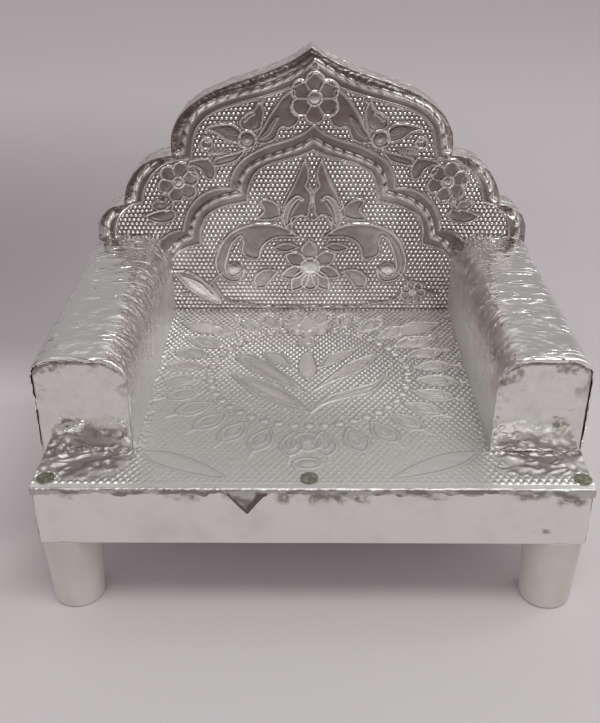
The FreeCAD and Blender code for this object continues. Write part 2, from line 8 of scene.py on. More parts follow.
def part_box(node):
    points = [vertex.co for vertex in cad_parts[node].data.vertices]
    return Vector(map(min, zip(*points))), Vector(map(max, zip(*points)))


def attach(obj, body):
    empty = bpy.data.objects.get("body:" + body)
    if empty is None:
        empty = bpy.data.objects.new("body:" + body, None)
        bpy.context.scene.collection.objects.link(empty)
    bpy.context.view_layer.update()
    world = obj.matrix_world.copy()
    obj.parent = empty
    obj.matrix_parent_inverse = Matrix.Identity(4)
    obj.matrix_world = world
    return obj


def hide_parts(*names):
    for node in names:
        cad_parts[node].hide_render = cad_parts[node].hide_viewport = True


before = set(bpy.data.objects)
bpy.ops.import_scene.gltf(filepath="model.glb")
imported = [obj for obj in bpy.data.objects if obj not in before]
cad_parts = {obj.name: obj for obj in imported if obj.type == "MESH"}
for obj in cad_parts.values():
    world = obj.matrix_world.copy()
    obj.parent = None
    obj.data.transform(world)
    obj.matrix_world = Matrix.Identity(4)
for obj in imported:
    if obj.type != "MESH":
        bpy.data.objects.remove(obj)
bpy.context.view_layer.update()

# The throne is looked down on from a hand's length in front of it.
# Every place is in metres in the throne's own frame: X right, Y back, Z up from the floor.
mm = 0.001
eye = Vector((-0.58, -172.56, 126.50)) * mm
look_down, turn_left, tilt = (math.radians(angle) for angle in (28.663, 0.625, 0.241))
focal_length_pixels = 925.93
photo_height_pixels = 723
forward = Vector((
    -math.sin(turn_left) * math.cos(look_down),
    math.cos(turn_left) * math.cos(look_down),
    -math.sin(look_down),
))
level_right = Vector((math.cos(turn_left), math.sin(turn_left), 0))
level_down = forward.cross(level_right)
right = level_right * math.cos(tilt) + level_down * math.sin(tilt)
down = level_down * math.cos(tilt) - level_right * math.sin(tilt)
camera = bpy.data.objects.new("camera", bpy.data.cameras.new("camera"))
camera.data.lens = focal_length_pixels / photo_height_pixels * camera.data.sensor_width
camera.data.clip_start = 10 * mm
camera.matrix_world = Matrix.Translation(eye) @ Matrix((right, -down, -forward)).transposed().to_4x4()
scene = bpy.context.scene
scene.collection.objects.link(camera)
scene.camera = camera
scene.view_settings.view_transform = "Standard"


# The table: a sheet of pale paper that turns greyer behind the throne, under a soft ceiling.
# Mirror-bright foil also sees the dim side of the room, where the viewer stands.
class Wire:
    """A socket of a node tree. Sums and products of wires add Math nodes to the tree."""

    def __init__(self, tree, socket=None):
        self.tree = tree
        self.socket = socket

    def node(self, kind, settings=None, sockets=None, output=0):
        """A new node's output: its settings are set first, then its sockets' values or links."""
        made = self.tree.nodes.new(kind)
        for name, value in (settings or {}).items():
            setattr(made, name, value)
        for name, value in (sockets or {}).items():
            if isinstance(value, Wire):
                self.tree.links.new(value.socket, made.inputs[name])
            else:
                made.inputs[name].default_value = value
        return Wire(self.tree, made.outputs[output] if made.outputs else None)

    def math(self, operation, other=0.0):
        return self.node("ShaderNodeMath", {"operation": operation}, {0: self, 1: other})

    def __add__(self, other):
        return self.math("ADD", other)

    def __sub__(self, other):
        return self.math("SUBTRACT", other)

    def __rsub__(self, other):
        return self.math("MULTIPLY", -1.0).math("ADD", other)

    def __mul__(self, other):
        return self.math("MULTIPLY", other)

    __radd__ = __add__
    __rmul__ = __mul__

    def ramp(self, low, high, start=0.0, end=1.0):
        """Eases from start to end as this wire goes from low to high."""
        sockets = {"Value": self, "From Min": low, "From Max": high, "To Min": start, "To Max": end}
        return self.node("ShaderNodeMapRange", {"interpolation_type": "SMOOTHSTEP"}, sockets)

    def mix(self, first, second):
        """A colour between two others, by this wire."""
        colours = [value if isinstance(value, Wire) else (*value, 1) for value in (first, second)]
        sockets = {0: self, 6: colours[0], 7: colours[1]}
        return self.node("ShaderNodeMix", {"data_type": "RGBA"}, sockets, output=2)

    def parts(self):
        """This wire's X, Y and Z."""
        split = self.node("ShaderNodeSeparateXYZ", sockets={0: self}).socket.node
        return [Wire(self.tree, part) for part in split.outputs]

    def feed(self, shader, name):
        self.tree.links.new(self.socket, shader.inputs[name])


def new_finish(name, **constants):
    """A material with these constants on its shader, and the place on the piece in millimetres."""
    material = bpy.data.materials.new(name)
    material.use_nodes = True
    shader = material.node_tree.nodes["Principled BSDF"]
    for socket, value in constants.items():
        shader.inputs[socket.replace("_", " ")].default_value = value
    place = Wire(material.node_tree).node("ShaderNodeTexCoord", output="Object")
    where = place.node("ShaderNodeVectorMath", {"operation": "SCALE"}, {0: place, "Scale": 1 / mm})
    return material, shader, where


# The paper's colours carry painted light and shade: darker on the left behind the throne as painted shade,
# lighter on the right as painted light, and lighter far back as painted light against the lamp's falloff.
paper_near = (0.72, 0.69, 0.685)
paper_left_painted_shade = (0.445, 0.413, 0.42)
paper_right_painted_light = (0.70, 0.66, 0.672)
paper_far_painted_light = (0.80, 0.76, 0.75)
dim_room = (0.105, 0.078, 0.074)
paper_in_shade = (0.36, 0.315, 0.305)
room_behind = (0.37, 0.355, 0.355)
room_left = (0.16, 0.14, 0.14)
room_right = (0.85, 0.85, 0.83)
ceiling_glow = (0.98, 0.97, 0.94)
ceiling_left = (0.50, 0.48, 0.47)
low_fill = (1.05, 0.96, 1.10)
high_fill = (0.30, 0.295, 0.285)
paper_bend = (35, 75)
paper_sides = (-130, 130)
paper_recedes = (120, 420)
paper_dims = (-175, -115)
paper_size = 4000
paper_below_feet = 0.05
cloud_size, cloud_sway = 1000 / 9, 120

world = bpy.data.worlds.new("room")
world.use_nodes = True
scene.world = world
background = world.node_tree.nodes["Background"]
start = Wire(world.node_tree)
rightward, toward_back, upward = start.node("ShaderNodeTexCoord", output="Generated").parts()
level_colour = toward_back.ramp(-0.35, 0.35).mix(dim_room, room_behind)
level_colour = (rightward * -1).ramp(0.45, 0.75).mix(level_colour, room_left)
level_colour = rightward.ramp(0.45, 0.75).mix(level_colour, room_right)
ceiling_colour = rightward.ramp(-0.45, 0.15).mix(ceiling_left, ceiling_glow)
room_colour = upward.ramp(0.46, 0.68).mix(level_colour, ceiling_colour)
fill_colour = upward.ramp(0.0, 0.8).mix(low_fill, high_fill)
in_foil = start.node("ShaderNodeLightPath", output="Is Glossy Ray")
in_foil.mix(fill_colour, room_colour).feed(background, "Color")

paper, shader, where = new_finish("paper", Roughness=0.9, Specular_IOR_Level=0.1)
across, back = where.parts()[:2]
cloudy = where.node("ShaderNodeTexNoise", sockets={"Vector": where, "Scale": 1 / cloud_size, "Detail": 2.0})
# Painted shade on the left and painted light on the right behind the throne, then painted light far back.
side_light_and_shade = (across + (cloudy - 0.5) * cloud_sway).ramp(*paper_sides).mix(paper_left_painted_shade, paper_right_painted_light)
far_light_and_shade = back.ramp(*paper_recedes).mix(side_light_and_shade, paper_far_painted_light)
paper_tone_and_painted_light = back.ramp(*paper_bend).mix(paper_near, far_light_and_shade)
in_foil = where.node("ShaderNodeLightPath", output="Is Glossy Ray")
(in_foil * (1 - back.ramp(*paper_dims))).mix(paper_tone_and_painted_light, paper_in_shade).feed(shader, "Base Color")
bpy.ops.mesh.primitive_plane_add(size=paper_size * mm, location=(0, 0, -paper_below_feet * mm))
table = bpy.context.object
table.name = "paper"
table.data.materials.append(paper)

for name, place, size, watts in (
    ("tube_lamp", (0.10, -0.17, 0.50), (0.34, 0.07), 0.86),
    ("window_lamp", (0.42, 0.10, 0.45), (0.10, 0.30), 0.25),
):
    lamp = bpy.data.lights.new(name, "AREA")
    lamp.shape = "RECTANGLE"
    lamp.size, lamp.size_y = size
    lamp.energy = watts
    lamp_object = bpy.data.objects.new(name, lamp)
    lamp_object.location = place
    lamp_object.rotation_euler = Vector(place).to_track_quat("Z", "Y").to_euler()
    scene.collection.objects.link(lamp_object)


# Legs: four tapered posts moulded in a waxy white plastic, each on its own screw.
# Their solids are right as they are, so they only get their finish.
def noise(where, size, detail=3.0, stretch=(1, 1, 1)):
    """Cloudy noise with hollows about so many millimetres wide."""
    stretched = where.node("ShaderNodeVectorMath", {"operation": "MULTIPLY"}, {0: where, 1: stretch})
    sockets = {"Vector": stretched, "Scale": 1 / size, "Detail": detail, "Roughness": 0.55}
    return where.node("ShaderNodeTexNoise", sockets=sockets)


def bump(height, depth):
    """A bump so many millimetres deep where the height is 1."""
    return height.node("ShaderNodeBump", sockets={"Height": height, "Distance": depth * mm})


def folds(where, size, width, stretch=(1, 1, 1)):
    """Thin wandering folds, as ridges from 0 to 1, some way apart."""
    off_line = (noise(where, size, 2.0, stretch) - 0.5).math("ABSOLUTE")
    return (1 - off_line * (1 / width)).math("MAXIMUM", 0.0)


def crush(where, size):
    """Flat facets with sharp edges between them, as in crushed foil, from 0 to 1."""
    wander = where.node("ShaderNodeTexNoise", sockets={"Vector": where, "Scale": 0.7 / size}, output=1)
    sockets = {0: wander, 1: (size,) * 3, 2: where}
    moved = where.node("ShaderNodeVectorMath", {"operation": "MULTIPLY_ADD"}, sockets)
    sockets = {"Vector": moved, "Scale": 1 / size}
    return where.node("ShaderNodeTexVoronoi", {"feature": "DISTANCE_TO_EDGE"}, sockets).ramp(0.0, 0.6)


def dress(names, material):
    """Gives CAD nodes that stay in sight their finish."""
    for name in names:
        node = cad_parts[name]
        node.data.materials.clear()
        node.data.materials.append(material)


plastic, shader, where = new_finish(
    "leg_plastic", Subsurface_Weight=0.5, Subsurface_Radius=(1.0, 0.8, 0.6), Subsurface_Scale=2.5 * mm,
    IOR=1.5,
)
flow = noise(where, 6.0, stretch=(1, 1, 0.35))
flow.ramp(0.3, 0.7).mix((0.56, 0.525, 0.47), (0.64, 0.61, 0.56)).feed(shader, "Base Color")
(flow * 0.15 + 0.33).feed(shader, "Roughness")
bump(noise(where, 0.8), 0.02).feed(shader, "Normal")
sides = {"left": -1, "right": 1}
dress(["%s_%s_leg" % (row, side) for row in ("front", "rear") for side in sides], plastic)

# Screws and nails: bright steel, drawn and headed, hidden in the wood but for their heads.
# Tacks: flat heads of a darker, oily steel in the seat's front margin.
steel, shader, where = new_finish("fastener_steel", Metallic=1.0)
drawn = noise(where, 0.4, stretch=(1, 1, 0.1))
drawn.ramp(0.3, 0.7).mix((0.42, 0.41, 0.40), (0.60, 0.59, 0.57)).feed(shader, "Base Color")
(drawn * 0.2 + 0.25).feed(shader, "Roughness")
tack_steel, shader, where = new_finish("tack_steel", Metallic=0.9)
oily = noise(where, 0.9)
oily.ramp(0.35, 0.65).mix((0.17, 0.17, 0.13), (0.32, 0.32, 0.26)).feed(shader, "Base Color")
(oily * 0.25 + 0.3).feed(shader, "Roughness")
bump(noise(where, 0.5), 0.05).feed(shader, "Normal")
dress([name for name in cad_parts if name.endswith(("_screw", "_nail"))], steel)
dress([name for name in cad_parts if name.endswith("_tack")], tack_steel)

# Boards and arm blocks: sawn softwood under the foil, seen only from below and in the gaps.
# The grain runs along X in the boards and along Y in the arms.
for name, along_y in (("seat_board", 0), ("back_board", 0), ("left_arm_block", 1), ("right_arm_block", 1)):
    wood, shader, where = new_finish(name + "_wood", Roughness=0.75)
    grain = noise(where, 1.4, stretch=(1, 0.08, 1) if along_y else (0.08, 1, 1))
    pores = noise(where, 0.5, stretch=(1, 0.05, 1) if along_y else (0.05, 1, 1))
    # The wood is darker and greyer than softwood is: painted shade, so that it reads dark in the narrow gaps
    # where it shows.
    figure = grain.ramp(0.35, 0.65).mix((0.20, 0.15, 0.11), (0.31, 0.24, 0.18))
    pores.ramp(0.55, 0.7).mix(figure, (0.15, 0.11, 0.08)).feed(shader, "Base Color")
    bump(grain + pores * 0.5, 0.08).feed(shader, "Normal")
    dress([name], wood)


# Base edge strip: plain foil glued round the front and sides of the base and turned under it.
# It is nearly smooth, with small puckers under the seat's lip and folds at the corners.
def crumple(u, v, cell_u, cell_v, seed):
    """Smooth random heights from -1 to 1 over places u, v, with hollows about a cell wide."""
    size = 64
    lattice = np.random.default_rng(seed).uniform(-1, 1, (size, size))
    column, row = np.floor(u / cell_u).astype(int), np.floor(v / cell_v).astype(int)
    share_u, share_v = u / cell_u - column, v / cell_v - row
    ease_u, ease_v = share_u ** 2 * (3 - 2 * share_u), share_v ** 2 * (3 - 2 * share_v)
    left, right = column % size, (column + 1) % size
    near, far = row % size, (row + 1) % size
    low = lattice[near, left] * (1 - ease_u) + lattice[near, right] * ease_u
    high = lattice[far, left] * (1 - ease_u) + lattice[far, right] * ease_u
    return low * (1 - ease_v) + high * ease_v


def ripple(along, cell, seed):
    """Smooth random heights from -1 to 1 along a line, with hollows about a cell long."""
    return crumple(along, along, cell, cell, seed)


def creases(u, v, cell_u, cell_v, seed):
    """Random folds from -1 to 1, with sharp crests, slanted over places u, v."""
    slant = np.random.default_rng(seed).uniform(0.2, 0.6)
    return 1 - np.abs(crumple(u + slant * v, v - slant * u, cell_u, cell_v, seed)) * 2


def eased(value, low, high):
    """Eases from 0 to 1 as a value goes from low to high."""
    share = np.clip((value - low) / (high - low), 0, 1)
    return share * share * (3 - 2 * share)


def squares(number):
    """The four corners of each square of a grid of numbered places."""
    return np.stack([number[:-1, :-1], number[:-1, 1:], number[1:, 1:], number[1:, :-1]], -1)


def folded_foil(outer, inward, thickness):
    """A closed shell from a grid of places on its outer side and the directions inward."""
    rows, columns = outer.shape[:2]
    count = rows * columns
    vertices = np.concatenate([outer.reshape(-1, 3), (outer + inward * thickness).reshape(-1, 3)])
    number = np.arange(count).reshape(rows, columns)
    quads = squares(number).reshape(-1, 4)
    rim = np.concatenate([number[0, :], number[1:, -1], number[-1, -2::-1], number[-2:0:-1, 0]])
    ahead = np.roll(rim, -1)
    walls = np.stack([ahead, rim, rim + count, ahead + count], -1)
    faces = np.concatenate([quads, quads[:, ::-1] + count, walls]).tolist()
    smooth = [True] * (len(quads) * 2) + [False] * len(walls)
    return vertices, faces, smooth


def make_piece(name, shells, material, nodes, marks=None):
    """A piece in place of CAD nodes, from shells in millimetres and marks on their first places."""
    vertices, faces, smooth = [], [], []
    for shell_vertices, shell_faces, shell_smooth in shells:
        first = sum(len(part) for part in vertices)
        vertices.append(np.asarray(shell_vertices))
        faces += [[first + corner for corner in face] for face in shell_faces]
        smooth += shell_smooth
    mesh = bpy.data.meshes.new(name)
    mesh.from_pydata((np.concatenate(vertices) * mm).tolist(), [], faces)
    mesh.polygons.foreach_set("use_smooth", smooth)
    for mark, values in (marks or {}).items():
        spread = np.zeros(len(mesh.vertices), np.float32)
        spread[:len(values)] = values
        mesh.attributes.new(mark, "FLOAT", "POINT").data.foreach_set("value", spread)
    mesh.validate()
    mesh.materials.append(material)
    piece = bpy.data.objects.new(name, mesh)
    scene.collection.objects.link(piece)
    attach(piece, "root")
    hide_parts(*nodes)


def box_in_mm(name):
    """The lowest and highest corner of a CAD node's box."""
    low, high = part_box(name)
    return np.array(low) / mm, np.array(high) / mm


def lengths_along(points):
    """How far along a line of straight runs each of its points lies."""
    return np.concatenate([[0], np.cumsum(np.hypot(*np.diff(points, axis=0).T))])


def leftward(ahead):
    """The directions a quarter turn to the left of others."""
    return np.stack([-ahead[:, 1], ahead[:, 0]], -1)


def spaced(points, step):
    """Places about a step apart along straight runs, how far along they are, and the way ahead."""
    points = np.array(points, float)
    marks = lengths_along(points)
    ways = np.linspace(0, marks[-1], int(marks[-1] / step) + 2)
    places = np.stack([np.interp(ways, marks, points[:, axis]) for axis in (0, 1)], -1)
    ahead = np.gradient(places, ways, axis=0)
    return places, ways, ahead / np.hypot(*ahead.T)[:, None]


strip_low, strip_high = box_in_mm("base_edge_strip")
corner_round = 0.7
turn_under = 12.0
strip_step = 0.5
pucker_limit = 0.1
rear_taper = 0.001
strip_line = [(strip_low[0], strip_high[1])]
for side, first_angle in ((-1, math.pi), (1, 1.5 * math.pi)):
    for angle in np.linspace(first_angle, first_angle + math.pi / 2, 7):
        strip_line.append((
            side * (strip_high[0] - corner_round) + corner_round * math.cos(angle),
            strip_low[1] + corner_round + corner_round * math.sin(angle),
        ))
strip_line.append((strip_high[0], strip_high[1]))
strip_places, strip_ways, strip_ahead = spaced(strip_line, strip_step)
side_height = strip_high[2] - strip_low[2]
below = side_height + np.arange(0, turn_under, 2 * strip_step)
drops = np.concatenate([np.arange(0, side_height, strip_step), below])
ways, drops = np.meshgrid(strip_ways, drops)
pucker = 0.05 * crumple(ways, drops, 14.0, 5.0, seed=3) + 0.05 * crumple(ways, drops, 3.1, 1.4, seed=4)
pucker *= 0.4 + 1.6 * (1 - eased(drops, 0.5, 4.5))
along_lip = ways - strip_ways[-1] / 2
near_corner = np.exp(-((np.abs(along_lip) - strip_high[0]) / 3.0) ** 2)
pucker += near_corner * 0.12 * creases(ways, drops, 1.3, 9.0, seed=5)
tucked = np.maximum(drops - side_height, 0)
strip_outer = np.stack([
    strip_places[:, 0] * (1 - tucked / strip_high[0]),
    np.minimum(strip_places[:, 1] + tucked, strip_high[1] - rear_taper * tucked),
    strip_high[2] - np.minimum(drops, side_height),
], -1)
strip_normal = np.zeros_like(strip_outer)
upright = tucked == 0
strip_normal[..., :2] = np.where(upright[..., None], leftward(strip_ahead), 0)
strip_normal[..., 2] = np.where(upright, 0, 1)
strip_outer += strip_normal * (pucker_limit - pucker).clip(0.0, 2 * pucker_limit)[..., None]

# Dark patches painted on the strip under the seat's lip, as painted shadow and dark reflection of its
# crinkles: their ends along X and how far they reach down.
lip_painted_shadows = (
    (-25.7, -20.5, 1.4), (-15.4, -12.9, 1.8), (-6.0, -2.6, 2.6), (-0.7, 9.9, 2.2), (19.0, 23.5, 1.2),
    (36.5, 41.5, 1.6), (44.0, 48.5, 2.6), (-45.0, -43.0, 1.2),
)
smudge_and_painted_shade = np.zeros(ways.shape)
for left_end, right_end, depth in lip_painted_shadows:
    wavy_depth = 1.4 + depth * (0.8 + 0.5 * ripple(along_lip, 1.7, seed=9))
    spot = eased(along_lip, left_end - 1.2, left_end + 0.8)
    spot *= 1 - eased(along_lip, right_end - 0.8, right_end + 1.2)
    smudge_and_painted_shade = np.maximum(smudge_and_painted_shade, spot * (1 - eased(drops, wavy_depth - 1.1, wavy_depth)))

scratch_middle, scratch_drop = 41.7, 9.3
off_scratch = drops - scratch_drop + 0.2 * (along_lip - scratch_middle)
scratch = (np.abs(along_lip - scratch_middle) < 1.6) & (np.abs(off_scratch) < 0.6)
smudge_and_painted_shade = np.maximum(smudge_and_painted_shade, scratch * eased(crumple(ways, drops, 0.9, 0.7, seed=10), -0.3, 0.2))

silver = (0.86, 0.85, 0.825)
stain_and_shade = (0.33, 0.30, 0.26)
plain_foil, shader, where = new_finish("plain_foil", Metallic=1.0)
# The smudge mark darkens the foil towards the stain colour: painted shadow under the seat's lip, painted
# shade along the caps' edges, a real scratch on the strip, and a slight dulling all over the caps.
painted_shade_and_smudge = where.node("ShaderNodeAttribute", {"attribute_name": "smudge_and_painted_shade"}, output=2)
specks = noise(where, 0.9, detail=4.0).ramp(0.71, 0.79) * 0.5
dulled_and_shaded = painted_shade_and_smudge * noise(where, 1.2, detail=4.0).ramp(0.35, 0.6, 0.15, 1.0)
cloud = noise(where, 8.0)
(dulled_and_shaded + specks + cloud.ramp(0.45, 0.8) * 0.22).mix(silver, stain_and_shade).feed(shader, "Base Color")
(cloud * 0.12 + 0.05 + dulled_and_shaded * 0.25).feed(shader, "Roughness")
waves = noise(where, 6.0) * 0.25 + noise(where, 2.4, stretch=(1, 1, 0.25)) * 0.03
few = noise(where, 3.0).ramp(0.56, 0.62) * 0.02
bump(waves + folds(where, 7.0, 0.02) * few, 1.0).feed(shader, "Normal")
strip_shell = folded_foil(strip_outer, strip_normal, thickness=0.15)
marks = {"smudge_and_painted_shade": smudge_and_painted_shade.ravel()}
make_piece("edge_strip", [strip_shell], plain_foil, ["base_edge_strip"], marks)


# Arm wraps: one plain foil each, pulled over the block from side to side, so that it lies in
# crosswise wrinkles on top, and is crushed where it meets the back and along its inner foot.
outer_round = 3.8
inner_round = 5.8
outer_bulge = {-1: 0.75, 1: 0.35}
widest = 50.85
least_lip = 0.12
arm_step = 0.35


def arm_section(side, low, high):
    """Places and outward directions round an arm's section, from its outer foot to its inner one."""
    width, height = high[0] - low[0], high[2] - low[2]
    runs = []
    for start, end in (
        ((0, 0), (0, height - outer_round)),
        ((outer_round, height), (width - inner_round, height)),
        ((width, height - inner_round), (width, 0)),
    ):
        places, ways, ahead = spaced([start, end], arm_step)
        runs.append((places, leftward(ahead)))
    for middle, radius, angles, order in (
        ((outer_round, height - outer_round), outer_round, (math.pi, math.pi / 2), 1),
        ((width - inner_round, height - inner_round), inner_round, (math.pi / 2, 0), 3),
    ):
        turns = np.linspace(*angles, int(math.pi / 2 * radius / arm_step) + 2)[1:-1]
        outward = np.stack([np.cos(turns), np.sin(turns)], -1)
        runs.insert(order, (np.array(middle) + outward * radius, outward))
    places, outward = (np.concatenate([run[part] for run in runs]) for part in (0, 1))
    outer_side = eased(-outward[:, 0], 0.1, 0.9)
    places[:, 0] -= outer_side * outer_bulge[side]
    places[:, 0] = high[0] - places[:, 0] if side > 0 else low[0] + places[:, 0]
    return places + (0, low[2]), outward * (-side, 1)


def over_line(places, outward, raised, y):
    """A foil over a line in X and Z: its places, raised outward, at depths y, and its ways inward."""
    x, z = (places[:, axis] + outward[:, axis] * raised for axis in (0, 1))
    inward = [0 * y - outward[:, 0], 0 * y, 0 * y - outward[:, 1]]
    return np.stack([x, y, z], -1), np.stack(inward, -1)


crushed_foil, shader, where = new_finish("crushed_foil", Metallic=1.0)
rightward, toward_back, upward = where.parts()
inner_face = 1 - rightward.math("ABSOLUTE").ramp(34.5, 38.5)
crushed_rear = toward_back.ramp(20.0, 31.0)
above_foot = upward.ramp(37.0, 42.0)
worn = inner_face * above_foot * noise(where, 2.5).ramp(0.35, 0.6, 0.1, 0.95)
worn.mix(silver, (0.70, 0.61, 0.625)).feed(shader, "Base Color")
(noise(where, 4.0) * 0.10 + 0.13 + inner_face * 0.16).feed(shader, "Roughness")
across_folds = folds(where, 4.5, 0.025, stretch=(0.25, 1.3, 1)) * noise(where, 5.0).ramp(0.46, 0.56)
facets = crush(where, 1.9) * 0.18
upright = noise(where, 2.5, stretch=(1, 1, 0.12)) * 0.10 + noise(where, 5.0) * 0.2
upright += noise(where, 0.9, stretch=(1, 1, 0.15)) * 0.05
rolling = noise(where, 6.0) * 0.5 + noise(where, 1.6, stretch=(0.3, 1, 1)) * 0.03
crushed_part = crushed_rear.math("MAXIMUM", inner_face * above_foot)
height = rolling + across_folds * 0.17 + crushed_part * facets + inner_face * upright
bump(height, 1.0).feed(shader, "Normal")
lip_shares = (1.0, 0.75, 0.5, 0.25)
lip_rows = len(lip_shares)
for side_name, side in sides.items():
    low, high = box_in_mm(side_name + "_arm_wrap")
    front = box_in_mm(side_name + "_arm_front_cap")[0][1]
    places, outward = arm_section(side, low, high)
    around = lengths_along(places)
    along = np.append(np.arange(front, high[1], arm_step), high[1])
    s, y = np.meshgrid(around, np.append(np.full(lip_rows, front), along))
    top = eased(outward[:, 1], 0.3, 0.9)
    facing_in = -side * outward[:, 0]
    inner = eased(facing_in, 0.2, 0.9)
    round_part = inner * (1 - eased(facing_in, 0.9, 1.0)) * (outward[:, 1] > 0.05)
    rear = eased(y, high[1] - 14, high[1] - 1)
    seed = 20 + 10 * side
    bands = creases(s, y, 16.0, 1.1, seed) + creases(s, y, 9.0, 0.7, seed + 1)
    crushed = creases(s, y, 1.5, 1.3, seed + 3) + creases(s, y, 0.8, 0.8, seed + 4)
    patch = eased(crumple(s, y, 8.0, 7.0, seed + 6), 0.0, 0.6)
    raised = 0.05 + 0.05 * crumple(s, y, 9.0, 5.0, seed + 2) + top * (0.002 + patch * 0.012) * bands
    raised += rear * (0.06 * crushed + 0.09 * creases(s, y, 6.0, 1.3, seed + 12))
    raised += inner * 0.04 * creases(s, y, 9.0, 3.0, seed + 5) + round_part * 0.04 * crushed
    raised += 0.06 * ripple(s, 2.3, seed + 8) * (1 - eased(y, front, front + 3))
    raised = raised.clip(-0.12, 0.4)
    lip = 0.25 + 0.40 * top + (0.15 + 0.2 * top) * ripple(around, 1.9, seed + 7)
    lip = (lip + 0.1 * ripple(around, 0.8, seed + 9)).clip(least_lip)
    raised[:lip_rows] = -lip * np.array(lip_shares)[:, None]
    raised[lip_rows] = -0.06
    wavy = 0.20 * ripple(around, 2.2, seed + 11) * (1 - eased(y, front, front + 1.5))
    outer, inward = over_line(places, outward, raised, y + wavy)
    outer[..., 0] = outer[..., 0].clip(-widest, widest)
    inward[:lip_rows] = (0, 1, 0)
    if side > 0:
        outer, inward = outer[:, ::-1], inward[:, ::-1]
    shell = folded_foil(outer, inward, thickness=0.12)
    make_piece(side_name + "_arm_foil", [shell], crushed_foil, [side_name + "_arm_wrap"])


# Arm front caps: a flat plain foil over each block's end, just inside the wrap's folded edge.
# A dark gap shows between the two all round.
def inside(outline, u, v):
    """Which places lie inside a closed outline."""
    found = np.zeros(u.shape, bool)
    for (u0, v0), (u1, v1) in zip(outline, np.roll(outline, -1, axis=0)):
        if v0 != v1:
            found ^= ((v0 > v) != (v1 > v)) & (u < u0 + (v - v0) / (v1 - v0) * (u1 - u0))
    return found


def nearest_on(outline, u, v):
    """The nearest places on a closed outline, and how far away they are."""
    best = np.full(u.shape, np.inf)
    best_u, best_v = np.array(u), np.array(v)
    for (u0, v0), (u1, v1) in zip(outline, np.roll(outline, -1, axis=0)):
        length = math.hypot(u1 - u0, v1 - v0)
        if length:
            share = (((u - u0) * (u1 - u0) + (v - v0) * (v1 - v0)) / length ** 2).clip(0, 1)
            at_u, at_v = u0 + share * (u1 - u0), v0 + share * (v1 - v0)
            distance = np.hypot(u - at_u, v - at_v)
            closer = distance < best
            best_u, best_v = np.where(closer, at_u, best_u), np.where(closer, at_v, best_v)
            best = np.where(closer, distance, best)
    return best_u, best_v, best


